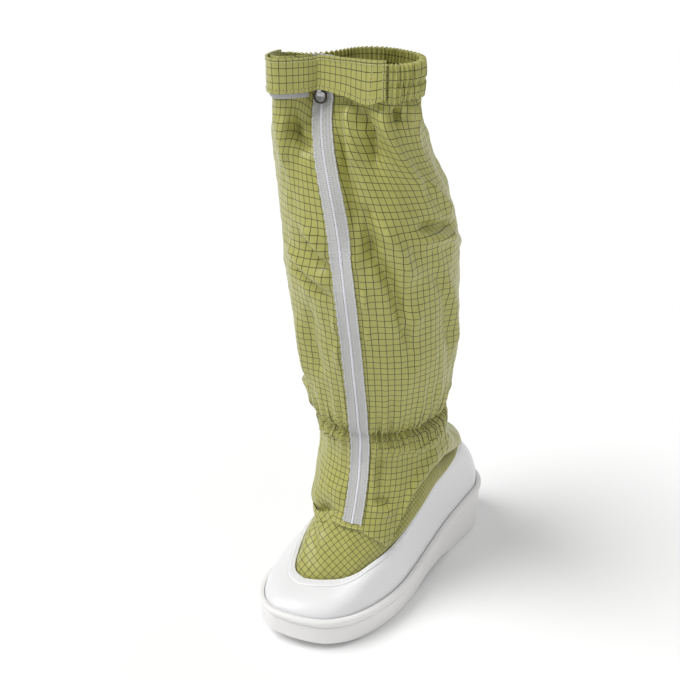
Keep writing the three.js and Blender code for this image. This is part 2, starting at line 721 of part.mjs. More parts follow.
const materials = {
  sole: new THREE.MeshStandardMaterial({ color: 0xe9e7e2, roughness: 0.55, metalness: 0 }),
  insole: new THREE.MeshStandardMaterial({ color: 0xdcdad4, roughness: 0.9, metalness: 0 }),
  upper: new THREE.MeshStandardMaterial({ color: 0xf2f2f3, roughness: 0.4, metalness: 0 }),
  cloth: new THREE.MeshStandardMaterial({ color: 0xb9b95a, roughness: 0.7, metalness: 0 }),
  tape: new THREE.MeshStandardMaterial({ color: 0xd9dce6, roughness: 0.8, metalness: 0 }),
  coil: new THREE.MeshStandardMaterial({ color: 0xe8eaf2, roughness: 0.45, metalness: 0 }),
  slider: new THREE.MeshStandardMaterial({ color: 0xcfcfd2, roughness: 0.35, metalness: 0.8 }),
  pull: new THREE.MeshStandardMaterial({ color: 0x4a453c, roughness: 0.4, metalness: 0.8 }),
};

const boot = new THREE.Group();

function piece(name, geometry, material, parent = boot) {
  const mesh = new THREE.Mesh(geometry, material);
  mesh.name = name;
  parent.add(mesh);
  return mesh;
}

piece('sole', soleGeometry, materials.sole);
piece('insole', insoleGeometry(), materials.insole);
piece('upper', upperGeometry(), materials.upper);
piece('leg', legGeometry(), materials.cloth);
piece('collar_cuff', cuffGeometry(), materials.cloth);
piece('closure_strap', strapGeometry, materials.cloth);
piece('hook_patch', patchGeometry, materials.tape);
piece('zip_tape_outer', tapeOuter, materials.tape);
piece('zip_tape_inner', tapeInner, materials.tape);
piece('zip_coil', coilGeometry(), materials.coil);

const sliderGroup = zipGroup(sliderDrop - sliderLength / 2, plateLift);
piece('zip_slider', sliderGeometry(), materials.slider, sliderGroup);
const pullGroup = zipGroup(sliderDrop - sliderLength / 2 + pullRadius, plateLift + sliderPlate + pullWire + gap);
piece('zip_pull', new THREE.TorusGeometry(pullRadius, pullWire, 6, 18), materials.pull, pullGroup);
boot.add(sliderGroup, pullGroup);

export default boot;
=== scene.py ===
import math

import bmesh
import bpy
import numpy as np
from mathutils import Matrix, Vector


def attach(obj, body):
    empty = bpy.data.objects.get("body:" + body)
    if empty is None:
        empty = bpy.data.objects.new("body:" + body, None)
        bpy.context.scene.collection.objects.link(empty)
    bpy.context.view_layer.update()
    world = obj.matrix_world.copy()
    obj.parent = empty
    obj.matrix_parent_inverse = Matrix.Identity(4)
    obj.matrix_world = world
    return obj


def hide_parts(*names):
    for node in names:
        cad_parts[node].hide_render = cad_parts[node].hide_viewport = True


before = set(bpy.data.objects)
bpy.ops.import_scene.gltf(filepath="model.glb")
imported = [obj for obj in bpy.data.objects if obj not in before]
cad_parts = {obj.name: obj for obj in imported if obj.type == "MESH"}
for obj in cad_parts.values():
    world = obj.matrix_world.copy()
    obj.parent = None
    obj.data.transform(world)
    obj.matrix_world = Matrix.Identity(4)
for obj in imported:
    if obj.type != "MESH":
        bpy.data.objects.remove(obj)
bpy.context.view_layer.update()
print("frame loaded")

# The boot's measures in millimetres; meshes are turned to metres as they are made
shoe = {
    "soleLength": 250, "ballWidth": 99, "heelSetback": 34,
    "beadForepart": 25.4, "beadHeel": 44.6, "bedForepart": 13, "bedHeel": 27,
    "toeSpring": 10.7, "archLift": 4, "lipWidth": 4.6, "upperWall": 2,
    "toplineHeight": 85, "toeCapLength": 36, "heelRake": 24, "gap": 0.3,
}
legSize = {
    "height": 432, "width": 127, "depth": 122, "shift": -9, "ankleSetback": 78,
    "lean": 50, "zipTurn": 22, "throatTurn": 34, "collarShift": -11, "collarSetback": 118,
    "bandHeight": 24, "tapeHalf": 7.4, "slitHalf": 2.3,
}

# Sole outline: place along, outer and inner half widths, as shares
solePlan = [
    (0, 0, 0), (0.012, 0.14, 0.14), (0.045, 0.25, 0.25), (0.1, 0.325, 0.325),
    (0.18, 0.346, 0.345), (0.3, 0.369, 0.33), (0.42, 0.413, 0.315), (0.52, 0.458, 0.36),
    (0.62, 0.496, 0.448), (0.7, 0.499, 0.503), (0.78, 0.472, 0.509), (0.86, 0.413, 0.466),
    (0.93, 0.299, 0.372), (0.975, 0.129, 0.261), (0.995, -0.016, 0.156), (1, -0.085, 0.085),
]
# Topline: place along, outer and inner half widths, height
topline = [
    (0, 0, 0, 1), (0.063, 0.141, 0.141, 1.006), (0.168, 0.242, 0.242, 1.015),
    (0.289, 0.303, 0.313, 1.012), (0.395, 0.333, 0.343, 0.988), (0.526, 0.364, 0.369, 0.871),
    (0.642, 0.374, 0.379, 0.759), (0.73, 0.364, 0.369, 0.688), (0.81, 0.333, 0.343, 0.635),
    (0.874, 0.283, 0.303, 0.571), (0.921, 0.202, 0.263, 0.524), (0.958, 0.111, 0.222, 0.506),
    (0.995, -0.02, 0.141, 0.488), (1, -0.05, 0.05, 0.482),
]
# Rings of the leg: rise, lean, width, depth, zip turn, slack
legRings = [
    (0.303, 0, 0.787, 0.911, 0.86, 0), (0.341, 0.06, 0.803, 0.893, 0.95, 0),
    (0.361, 0.16, 0.756, 0.836, 1.02, 0), (0.382, 0.18, 0.835, 0.885, 1.05, 0),
    (0.428, 0.19, 0.898, 0.918, 1.03, 0), (0.479, 0.24, 0.945, 0.951, 1.04, 0),
    (0.556, 0.29, 0.976, 0.984, 1, 0), (0.637, 0.37, 1, 1, 0.96, 0),
    (0.694, 0.42, 1, 0.984, 0.9, 0), (0.752, 0.52, 0.976, 0.934, 0.88, 0.03),
    (0.81, 0.66, 0.913, 0.82, 0.76, 0.15), (0.852, 0.76, 0.882, 0.77, 0.66, 0.42),
    (0.898, 0.88, 0.85, 0.74, 0.5, 0.78), (0.933, 1, 0.8, 0.6, 0, 1),
    (0.944, 1, 0.8, 0.6, 0, 1), (1, 1, 0.8, 0.6, 0, 1),
]
# Plan of the slack collar: turn, across, ahead
collarPlan = [
    (0, -0.094, 0.131), (30, 0.102, 0.145), (63, 0.307, 0.148), (88, 0.394, 0.016),
    (109, 0.354, -0.115), (132, 0.244, -0.205), (165, 0.047, -0.23), (202, -0.173, -0.172),
    (235, -0.339, -0.049), (263, -0.378, 0.123), (289, -0.323, 0.279), (305, -0.236, 0.332),
    (324, -0.165, 0.254),
]
up = np.array([0.0, 0.0, 1.0])
millimetre = 0.001


def curveAt(keys, values, at):
    keys, values, at = (np.asarray(v, float) for v in (keys, values, at))
    last = len(keys) - 1
    at = np.clip(at, keys[0], keys[-1])
    k = np.clip(np.searchsorted(keys, at, side="left") - 1, 0, last - 1)
    low = np.maximum(np.arange(last + 1) - 1, 0)
    high = np.minimum(np.arange(last + 1) + 1, last)
    slope = (values[high] - values[low]) / (keys[high] - keys[low])
    step = keys[k + 1] - keys[k]
    t = (at - keys[k]) / step
    return ((2 * t**3 - 3 * t**2 + 1) * values[k] + (t**3 - 2 * t**2 + t) * step * slope[k]
            + (3 * t**2 - 2 * t**3) * values[k + 1] + (t**3 - t**2) * step * slope[k + 1])


def closedCurve(rows, column, turn):
    keys = np.array([row[0] for row in rows], float)
    values = np.array([row[column] for row in rows], float)
    keys = np.concatenate([keys[-3:] - 360, keys, keys[:3] + 360])
    values = np.concatenate([values[-3:], values, values[:3]])
    return curveAt(keys, values, np.mod(turn, 360))


def openLoop(rows, outer, sign, inner):
    ring = [(math.acos(2 * row[0] - 1), row[outer]) for row in rows]
    ring += [(-math.acos(2 * row[0] - 1), sign * row[inner]) for row in rows[1:-1]]
    ring = np.array(sorted(ring))
    turn = np.array([2 * math.pi, 0])
    return np.vstack([ring[-3:] - turn, ring, ring[:3] + turn])


soleLoop = openLoop(solePlan, 1, -1, 2)
topLoop = openLoop(topline, 1, -1, 2)
riseLoop = openLoop(topline, 3, 1, 3)


def wrapAngle(angle):
    return np.arctan2(np.sin(angle), np.cos(angle))


def loopValue(loop, angle):
    return curveAt(loop[:, 0], loop[:, 1], wrapAngle(angle))


def stack(x, y, z):
    return np.stack(np.broadcast_arrays(x, y, z), axis=-1)


def unit(v):
    return v / np.maximum(np.linalg.norm(v, axis=-1, keepdims=True), 1e-9)


def smooth(t):
    t = np.clip(t, 0, 1)
    return t * t * (3 - 2 * t)


def plateau(at, start, rise, end, fall):
    return smooth((at - start) / rise) * smooth((end - at) / fall)


def lengthShare(angle):
    return (1 + np.cos(angle)) / 2


def planPoint(angle, out):
    def place(a):
        return stack(shoe["ballWidth"] * loopValue(soleLoop, a),
                     shoe["heelSetback"] - shoe["soleLength"] * lengthShare(a), 0.0)
    angle, out = np.broadcast_arrays(np.asarray(angle, float), np.asarray(out, float))
    tangent = unit(place(angle + 0.01) - place(angle - 0.01))
    side = stack(tangent[..., 1], -tangent[..., 0], 0.0)
    return place(angle) + side * out[..., None]


def soleShare(y):
    return (shoe["heelSetback"] - y) / shoe["soleLength"]


def wedge(y):
    return smooth((0.66 - soleShare(y)) / 0.66)


def spring(y):
    return shoe["toeSpring"] * np.clip((soleShare(y) - 0.72) / 0.28, 0, 1) ** 2


def treadHeight(y):
    return spring(y) + shoe["archLift"] * np.clip(1 - ((soleShare(y) - 0.41) / 0.13) ** 2, 0, 1)


def beadHeight(y):
    rise = shoe["beadHeel"] - shoe["beadForepart"]
    return shoe["beadForepart"] + rise * wedge(y) + 0.7 * spring(y)


def bedHeight(y):
    rise = shoe["bedHeel"] - shoe["bedForepart"]
    return shoe["bedForepart"] + rise * wedge(y) + 0.7 * spring(y)


def toplinePoint(angle):
    front = shoe["heelSetback"] - shoe["soleLength"] + shoe["toeCapLength"]
    back = shoe["heelSetback"] - shoe["heelRake"]
    return stack(shoe["ballWidth"] * loopValue(topLoop, angle),
                 back + (front - back) * lengthShare(angle),
                 shoe["toplineHeight"] * loopValue(riseLoop, angle))


def upperPoint(angle, t):
    angle, t = np.broadcast_arrays(np.asarray(angle, float), np.asarray(t, float))
    foot = planPoint(angle, -(shoe["lipWidth"] + shoe["gap"]))
    foot[..., 2] = beadHeight(foot[..., 1]) - 1.5
    top = toplinePoint(angle)
    roll = np.radians(47 + 20 * lengthShare(angle) ** 2)
    inward = (1 - np.cos(roll * t)) / (1 - np.cos(roll))
    rise = np.sin(roll * t) / np.sin(roll)
    return stack(foot[..., 0] + (top[..., 0] - foot[..., 0]) * inward,
                 foot[..., 1] + (top[..., 1] - foot[..., 1]) * inward,
                 foot[..., 2] + (top[..., 2] - foot[..., 2]) * rise)


def upperNormal(angle, t):
    across = upperPoint(angle + 0.01, t) - upperPoint(angle - 0.01, t)
    rise = upperPoint(angle, t + 0.01) - upperPoint(angle, t - 0.01)
    return unit(np.cross(across, rise))


def upperRise(angle, t):
    return unit(upperPoint(angle, t) - upperPoint(angle, t - 0.01))


def ringPoint(rise, turn):
    rise, turn = np.broadcast_arrays(np.asarray(rise, float), np.asarray(turn, float))
    table = np.array(legRings)
    lean, width, depth, twist, slack = (
        curveAt(table[:, 0], table[:, c], rise) for c in range(1, 6))
    slack = np.clip(slack, 0, 1)
    angle, twist = np.radians(turn), np.radians(legSize["zipTurn"] * twist)
    side = legSize["width"] / 2 * width * np.sin(angle)
    front = legSize["depth"] / 2 * depth * np.cos(angle)
    middle = -legSize["ankleSetback"] - legSize["lean"] * lean
    x = legSize["shift"] + side * np.cos(twist) + front * np.sin(twist)
    y = middle + side * np.sin(twist) - front * np.cos(twist)
    slackX = legSize["collarShift"] + legSize["width"] * closedCurve(collarPlan, 1, turn)
    slackY = -legSize["collarSetback"] - legSize["depth"] * closedCurve(collarPlan, 2, turn)
    return stack(x + (slackX - x) * slack, y + (slackY - y) * slack, legSize["height"] * rise)


def toplineAngle(turn):
    angle = np.radians(turn)
    return wrapAngle(angle + math.radians(legSize["throatTurn"]) * np.cos(angle / 2) ** 4)


def vampPoint(turn, t):
    turn, t = np.broadcast_arrays(np.asarray(turn, float), np.asarray(t, float))
    at = toplineAngle(turn)
    one = np.ones_like(at)
    start = upperPoint(at, one) + 1.5 * upperRise(at, one) + 2.0 * upperNormal(at, one)
    end = ringPoint(legRings[0][0] * one, turn)
    front = np.clip(np.cos(at), 0, 1) ** 2
    side = np.sin(at) ** 2
    back = np.clip(-np.cos(at), 0, 1) ** 2
    out = stack(np.sin(at), -np.cos(at), 0 * at)
    lean = np.radians(-30 * front + 22 * side - 4 * back)
    leave = out * np.sin(lean)[..., None] + up * np.cos(lean)[..., None]
    first = start + leave * (14 * front + 17 * side + 13 * back)[..., None]
    second = (end - up * (36 * front + 17 * side + 14 * back)[..., None]
              + out * (3 * front + side + 3 * back)[..., None])
    s = t[..., None]
    return ((1 - s) ** 3 * start + 3 * (1 - s) ** 2 * s * first
            + 3 * (1 - s) * s**2 * second + s**3 * end)


def tuckPoint(turn, t, rise, out):
    at = toplineAngle(turn)
    level = np.full_like(at, t)
    return upperPoint(at, level) + rise * upperRise(at, level) + out * upperNormal(at, level)


# Mesh helpers
def gridFaces(rows, columns, closed=False, keep=None):
    spans = columns if closed else columns - 1
    i, j = np.meshgrid(np.arange(rows - 1), np.arange(spans), indexing="ij")
    if keep is not None:
        kept = keep(i, j)
        i, j = i[kept], j[kept]
    i, j = i.ravel(), j.ravel()
    k = (j + 1) % columns
    return np.stack([i * columns + j, i * columns + k, (i + 1) * columns + k, (i + 1) * columns + j], 1)


def gridNormals(grid, closed):
    if closed:
        across = np.roll(grid, -1, 1) - np.roll(grid, 1, 1)
    else:
        across = np.gradient(grid, axis=1)
    return unit(np.cross(across, np.gradient(grid, axis=0)))


def closingFaces(rows, count):
    # joins the last ring of a closed grid to its first
    last = (rows - 1) * count
    return [[last + j, last + (j + 1) % count, (j + 1) % count, j] for j in range(count)]


def cornerPoints(mesh):
    found = np.empty(len(mesh.loops), int)
    mesh.loops.foreach_get("vertex_index", found)
    return found


def makePiece(name, points, faces, material, corners=None, soft=True):
    mesh = bpy.data.meshes.new(name)
    points = np.asarray(points, float).reshape(-1, 3)
    if isinstance(faces, np.ndarray):
        faces = faces.tolist()
    mesh.from_pydata((points * millimetre).tolist(), [], faces)
    if corners is not None:
        layer = mesh.uv_layers.new(name="cloth")
        if len(corners) == len(points):
            # one place for each point, given again to each corner that meets it
            corners = corners[cornerPoints(mesh)]
        layer.data.foreach_set("uv", corners.astype(np.float32).ravel())
    if soft:
        mesh.polygons.foreach_set("use_smooth", [True] * len(mesh.polygons))
    mesh.materials.append(material)
    mesh.update()
    piece = bpy.data.objects.new(name, mesh)
    bpy.context.scene.collection.objects.link(piece)
    return piece


def settle(piece):
    # turns the live modifiers into plain mesh
    graph = bpy.context.evaluated_depsgraph_get()
    made = bpy.data.meshes.new_from_object(piece.evaluated_get(graph))
    piece.modifiers.clear()
    old = piece.data
    piece.data = made
    made.name = old.name


def dropLoose(piece):
    mesh = piece.data
    used = np.zeros(len(mesh.vertices), bool)
    used[cornerPoints(mesh)] = True
    bm = bmesh.new()
    bm.from_mesh(mesh)
    bm.verts.ensure_lookup_table()
    bmesh.ops.delete(bm, geom=[bm.verts[i] for i in np.flatnonzero(~used)], context="VERTS")
    bm.to_mesh(mesh)
    bm.free()


def thicken(piece, thickness):
    solidify = piece.modifiers.new("wall", "SOLIDIFY")
    solidify.thickness = thickness * millimetre
    solidify.offset = -1
    solidify.use_even_offset = False
    settle(piece)


# Shader helpers
def add(tree, kind, props=None, **inputs):
    made = tree.nodes.new(kind)
    for key, value in (props or {}).items():
        setattr(made, key, value)
    for key, value in inputs.items():
        socket = made.inputs[int(key[1:])] if key[1:].isdigit() else made.inputs[key.replace("_", " ")]
        if isinstance(value, bpy.types.NodeSocket):
            tree.links.new(value, socket)
        else:
            socket.default_value = value
    return made


def math2(tree, operation, a, b=0.0, c=0.0):
    return add(tree, "ShaderNodeMath", {"operation": operation}, i0=a, i1=b, i2=c).outputs[0]


def newGroup(name, inputs, outputs):
    group = bpy.data.node_groups.new(name, "ShaderNodeTree")
    for label, kind, value in inputs:
        socket = group.interface.new_socket(name=label, in_out="INPUT", socket_type=kind)
        if value is not None:
            socket.default_value = value
    for label, kind in outputs:
        group.interface.new_socket(name=label, in_out="OUTPUT", socket_type=kind)
    return group, group.nodes.new("NodeGroupInput").outputs, group.nodes.new("NodeGroupOutput").inputs


def useGroup(tree, group, **inputs):
    made = tree.nodes.new("ShaderNodeGroup")
    made.node_tree = group
    for key, value in inputs.items():
        socket = made.inputs[key.replace("_", " ")]
        if isinstance(value, bpy.types.NodeSocket):
            tree.links.new(value, socket)
        else:
            socket.default_value = value
    return made.outputs


def linesGroup():
    # dark threads at a set spacing both ways, in cloth millimetres
    group, given, out = newGroup("threadGrid", [
        ("Vector", "NodeSocketVector", None), ("Spacing", "NodeSocketFloat", 5.0),
        ("Width", "NodeSocketFloat", 0.6), ("Waver", "NodeSocketFloat", 0.25)],
        [("Mask", "NodeSocketFloat")])
    waver = add(group, "ShaderNodeTexNoise", {"noise_dimensions": "3D"}, Vector=given["Vector"],
                Scale=0.16, Detail=2.0)
    shift = math2(group, "MULTIPLY", math2(group, "SUBTRACT", waver.outputs["Fac"], 0.5), given["Waver"])
    parts = add(group, "ShaderNodeSeparateXYZ", Vector=given["Vector"])
    masks = []
    for axis in (0, 1):
        moved = math2(group, "ADD", parts.outputs[axis], shift)
        share = math2(group, "DIVIDE", moved, given["Spacing"])
        centred = math2(group, "SUBTRACT", math2(group, "FRACT", math2(group, "ADD", share, 0.5)), 0.5)
        away = math2(group, "MULTIPLY", math2(group, "ABSOLUTE", centred), given["Spacing"])
        half = math2(group, "MULTIPLY", given["Width"], 0.5)
        soft = add(group, "ShaderNodeMapRange", {"interpolation_type": "SMOOTHSTEP"},
                   Value=math2(group, "SUBTRACT", away, half), From_Min=-0.14, From_Max=0.14,
                   To_Min=1.0, To_Max=0.0)
        masks.append(soft.outputs["Result"])
    group.links.new(math2(group, "MAXIMUM", *masks), out["Mask"])
    return group


def weaveGroup():
    # height of crossing threads, in cloth millimetres
    group, given, out = newGroup("weaveHeight", [
        ("Vector", "NodeSocketVector", None), ("Pitch", "NodeSocketFloat", 0.5),
        ("Rib", "NodeSocketFloat", 1.0)], [("Height", "NodeSocketFloat")])
    parts = add(group, "ShaderNodeSeparateXYZ", Vector=given["Vector"])
    waves = []
    for axis in (0, 1):
        turns = math2(group, "DIVIDE", parts.outputs[axis], given["Pitch"])
        if axis == 0:
            turns = math2(group, "MULTIPLY", turns, given["Rib"])
        waves.append(math2(group, "SINE", math2(group, "MULTIPLY", turns, 2 * math.pi)))
    product = math2(group, "MULTIPLY", *waves)
    group.links.new(math2(group, "MULTIPLY_ADD", product, 0.5, 0.5), out["Height"])
    return group


def grainGroup():
    # pebbled skin of coated leather and moulded foam
    group, given, out = newGroup("skinGrain", [
        ("Vector", "NodeSocketVector", None), ("Size", "NodeSocketFloat", 900.0),
        ("Soft", "NodeSocketFloat", 0.5)], [("Height", "NodeSocketFloat"), ("Patch", "NodeSocketFloat")])
    cells = add(group, "ShaderNodeTexVoronoi", {"feature": "SMOOTH_F1"}, Vector=given["Vector"],
                Scale=given["Size"], Smoothness=0.6)
    broad = add(group, "ShaderNodeTexNoise", Vector=given["Vector"], Scale=14.0, Detail=3.0)
    fine = add(group, "ShaderNodeTexNoise", Vector=given["Vector"], Scale=260.0, Detail=2.0)
    mixed = math2(group, "MULTIPLY_ADD", fine.outputs["Fac"], given["Soft"], cells.outputs["Distance"])
    group.links.new(mixed, out["Height"])
    group.links.new(broad.outputs["Fac"], out["Patch"])
    return group


def crumpleGroup():
    # small dents and tension lines of thin cloth, in metres
    group, given, out = newGroup("crumple", [
        ("Vector", "NodeSocketVector", None), ("Scale", "NodeSocketFloat", 60.0)],
        [("Height", "NodeSocketFloat"), ("Tone", "NodeSocketFloat")])
    longer = add(group, "ShaderNodeMapping", Vector=given["Vector"], Scale=(1.0, 1.0, 0.45))
    soft = add(group, "ShaderNodeTexNoise", Vector=longer.outputs[0], Scale=given["Scale"],
               Detail=2.0, Distortion=0.6)
    tone = add(group, "ShaderNodeTexNoise", Vector=given["Vector"], Scale=9.0, Detail=2.0)
    group.links.new(soft.outputs["Fac"], out["Height"])
    group.links.new(tone.outputs["Fac"], out["Tone"])
    return group


threadGrid, weaveHeight, skinGrain, crumple = linesGroup(), weaveGroup(), grainGroup(), crumpleGroup()


def newMaterial(name):
    material = bpy.data.materials.new(name)
    material.use_nodes = True
    tree = material.node_tree
    shader = tree.nodes["Principled BSDF"]
    coords = tree.nodes.new("ShaderNodeTexCoord").outputs
    return material, tree, shader, coords


def mixColour(tree, factor, a, b, kind="MIX"):
    made = add(tree, "ShaderNodeMix", {"data_type": "RGBA", "blend_type": kind})
    for socket, value in ((made.inputs[0], factor), (made.inputs[6], a), (made.inputs[7], b)):
        if isinstance(value, bpy.types.NodeSocket):
            tree.links.new(value, socket)
        else:
            socket.default_value = value
    return made.outputs[2]


def rgb(red, green, blue):
    # colour as seen on a screen, 0 to 255, to scene values
    parts = [v / 255 for v in (red, green, blue)]
    return tuple(v / 12.92 if v <= 0.04045 else ((v + 0.055) / 1.055) ** 2.4 for v in parts) + (1.0,)


gridCloth = {
    "ground": rgb(170, 168, 82), "warm": rgb(154, 152, 62), "thread": rgb(46, 46, 16),
    "spacing": 5.0, "lineWidth": 0.5, "roughness": 0.4, "weavePitch": 0.42,
    "weaveBump": 0.1, "crumpleBump": 0.35, "sheen": 0.25,
}


def clothMaterial(name, settings):
    material, tree, shader, coords = newMaterial(name)
    lines = useGroup(tree, threadGrid, Vector=coords["UV"], Spacing=settings["spacing"],
                     Width=settings["lineWidth"])
    folds = useGroup(tree, crumple, Vector=coords["Object"], Scale=70.0)
    weave = useGroup(tree, weaveHeight, Vector=coords["UV"], Pitch=settings["weavePitch"])
    ground = mixColour(tree, folds["Tone"], settings["ground"], settings["warm"])
    threads = mixColour(tree, math2(tree, "MULTIPLY", weave["Height"], 0.12), ground, (1, 1, 0.75, 1))
    inked = mixColour(tree, math2(tree, "MULTIPLY", lines["Mask"], 0.92), threads, settings["thread"])
    tree.links.new(inked, shader.inputs["Base Color"])
    rough = math2(tree, "MULTIPLY_ADD", folds["Tone"], 0.12, settings["roughness"] - 0.06)
    tree.links.new(rough, shader.inputs["Roughness"])
    shader.inputs["Sheen Weight"].default_value = settings["sheen"]
    shader.inputs["Sheen Roughness"].default_value = 0.4
    shader.inputs["Sheen Tint"].default_value = (1, 1, 0.8, 1)
    shader.inputs["Specular IOR Level"].default_value = 0.45
    soft = add(tree, "ShaderNodeBump", Strength=settings["crumpleBump"], Distance=0.0016,
               Height=folds["Height"])
    fine = add(tree, "ShaderNodeBump", Strength=settings["weaveBump"], Distance=0.00025,
               Height=weave["Height"], Normal=soft.outputs[0])
    tree.links.new(fine.outputs[0], shader.inputs["Normal"])
    return material


def skinMaterial(name, base, shade, roughness, coat, bump, size=900.0):
    material, tree, shader, coords = newMaterial(name)
    grain = useGroup(tree, skinGrain, Vector=coords["Object"], Size=size)
    tree.links.new(mixColour(tree, grain["Patch"], base, shade), shader.inputs["Base Color"])
    rough = math2(tree, "MULTIPLY_ADD", grain["Patch"], 0.16, roughness - 0.08)
    tree.links.new(rough, shader.inputs["Roughness"])
    shader.inputs["Coat Weight"].default_value = coat
    shader.inputs["Coat Roughness"].default_value = 0.25
    raised = add(tree, "ShaderNodeBump", Strength=bump, Distance=0.0003, Height=grain["Height"])
    tree.links.new(raised.outputs[0], shader.inputs["Normal"])
    return material


def tapeMaterial(name, base, shade, pitch, rib, bump, roughness, ribTone=0.3):
    material, tree, shader, coords = newMaterial(name)
    weave = useGroup(tree, weaveHeight, Vector=coords["UV"], Pitch=pitch, Rib=rib)
    folds = useGroup(tree, crumple, Vector=coords["Object"], Scale=90.0)
    # random darker patches of the shade grey, then the raised ribs drawn toward that grey as well
    mottled = mixColour(tree, folds["Tone"], base, shade)
    tree.links.new(mixColour(tree, math2(tree, "MULTIPLY", weave["Height"], ribTone), mottled, shade),
                   shader.inputs["Base Color"])
    shader.inputs["Roughness"].default_value = roughness
    shader.inputs["Sheen Weight"].default_value = 0.2
    raised = add(tree, "ShaderNodeBump", Strength=bump, Distance=0.0004, Height=weave["Height"])
    tree.links.new(raised.outputs[0], shader.inputs["Normal"])
    return material


def metalMaterial(name, base, roughness, metallic):
    material, tree, shader, coords = newMaterial(name)
    grain = useGroup(tree, skinGrain, Vector=coords["Object"], Size=2400.0)
    dark = tuple(0.7 * v for v in base[:3]) + (1.0,)
    tree.links.new(mixColour(tree, grain["Patch"], base, dark), shader.inputs["Base Color"])
    rough = math2(tree, "MULTIPLY_ADD", grain["Patch"], 0.2, roughness - 0.1)
    tree.links.new(rough, shader.inputs["Roughness"])
    shader.inputs["Metallic"].default_value = metallic
    raised = add(tree, "ShaderNodeBump", Strength=0.15, Distance=0.0001, Height=grain["Height"])
    tree.links.new(raised.outputs[0], shader.inputs["Normal"])
    return material


clothLook = clothMaterial("gridCloth", gridCloth)
upperLook = skinMaterial("whiteCoating", rgb(233, 233, 234), rgb(227, 227, 229), 0.33, 0.2, 0.12)
soleLook = skinMaterial("whiteFoam", rgb(238, 237, 236), rgb(230, 229, 228), 0.45, 0.0, 0.18, 600.0)
insoleLook = skinMaterial("insoleFelt", rgb(222, 220, 212), rgb(205, 203, 195), 0.85, 0.0, 0.5, 1400.0)
tapeLook = tapeMaterial("zipTape", rgb(224, 224, 223), rgb(168, 168, 166), 1.1, 0.25, 1.0, 0.6, 0.4)
coilLook = tapeMaterial("zipCoil", rgb(238, 239, 243), rgb(214, 215, 222), 0.9, 0.5, 0.2, 0.38)
patchLook = tapeMaterial("hookPatch", rgb(226, 226, 228), rgb(196, 196, 200), 0.7, 1.0, 0.9, 0.9)
threadLook = tapeMaterial("paleThread", rgb(226, 226, 170), rgb(196, 196, 130), 0.4, 1.0, 0.3, 0.6)
whiteThreadLook = tapeMaterial("whiteThread", rgb(240, 240, 242), rgb(214, 214, 220), 0.4, 1.0, 0.3, 0.6)
sliderLook = metalMaterial("sliderMetal", rgb(206, 206, 210), 0.34, 0.85)
pullLook = metalMaterial("ringWire", rgb(84, 78, 66), 0.36, 0.9)
print("materials made")


# Camera, lights and floor
view = {"place": (0.4101, -0.6297, 0.5534), "target": (0.0, -0.1437, 0.2356), "lens": 52.94}
camera = bpy.data.cameras.new("camera")
camera.lens = view["lens"]
camera.sensor_width = 36
cameraObject = bpy.data.objects.new("camera", camera)
cameraObject.location = view["place"]
aim = Vector(view["target"]) - Vector(view["place"])
cameraObject.rotation_euler = aim.to_track_quat("-Z", "Y").to_euler()
bpy.context.scene.collection.objects.link(cameraObject)
bpy.context.scene.camera = cameraObject
bpy.context.scene.view_settings.view_transform = "Standard"

studio = {
    "key": {"from": (-0.45, -0.6, 1.08), "spread": 34.0, "strength": 2.35},
    "side": {"from": (0.9, -0.1, 0.75), "spread": 50.0, "strength": 0.35},
    "back": {"from": (0.1, 0.9, 0.8), "spread": 50.0, "strength": 0.4},
    "sky": 0.38, "floor": rgb(248, 248, 248),
}


def softLight(name, settings):
    light = bpy.data.lights.new(name, "SUN")
    light.angle = math.radians(settings["spread"])
    light.energy = settings["strength"]
    placed = bpy.data.objects.new(name, light)
    placed.location = settings["from"]
    placed.rotation_euler = (-Vector(settings["from"])).to_track_quat("-Z", "Y").to_euler()
    bpy.context.scene.collection.objects.link(placed)


for lightName in ("key", "side", "back"):
    softLight(lightName, studio[lightName])
world = bpy.data.worlds.new("studio")
world.use_nodes = True
world.node_tree.nodes["Background"].inputs["Color"].default_value = (1, 1, 1, 1)
world.node_tree.nodes["Background"].inputs["Strength"].default_value = studio["sky"]
bpy.context.scene.world = world

floorLook, floorTree, floorShader, floorCoords = newMaterial("paleFloor")
floorNoise = add(floorTree, "ShaderNodeTexNoise", Vector=floorCoords["Object"], Scale=3.0)
floorTree.links.new(mixColour(floorTree, floorNoise.outputs["Fac"], studio["floor"], rgb(240, 240, 240)),
                    floorShader.inputs["Base Color"])
floorShader.inputs["Roughness"].default_value = 0.9
floorShader.inputs["Specular IOR Level"].default_value = 0.1
floorHalf, floorSteps, floorDrop = 30000.0, 9, 0.05
floorLine = np.linspace(-floorHalf, floorHalf, floorSteps)
floorX, floorY = np.meshgrid(floorLine, floorLine)
floorPoints = stack(floorX, floorY, -floorDrop)
floor = makePiece("floor", floorPoints, gridFaces(floorSteps, floorSteps), floorLook)
print("camera, lights and floor made")


# Sole
soleDetail = {
    "stations": 360, "beadRadius": 3.1, "beadSteps": 12, "sideSteps": 6, "grooveDepth": 0.75,
    "treadDepth": 2.5, "treadPitch": 12.0, "treadSlot": 3.0, "treadWave": 2.4, "treadBorder": 9.0,
    "waves": 3.5, "waveSpan": 60, "slotSteps": 60, "slotInset": 0.3, "slotFlare": 0.8, "slotBelow": -12.0,
    "archFrom": 0.27, "archTo": 0.5, "treadRound": 2.4, "treadEdge": -4.4, "sideTop": 8.4,
    "pimpleTurn": -9.0, "pimpleHeight": 0.9, "pimpleSize": 1.5, "pimpleDrop": 1.2, "sharpFrom": 40,
}


def stationAngles(count):
    return np.arange(count) * 2 * math.pi / count


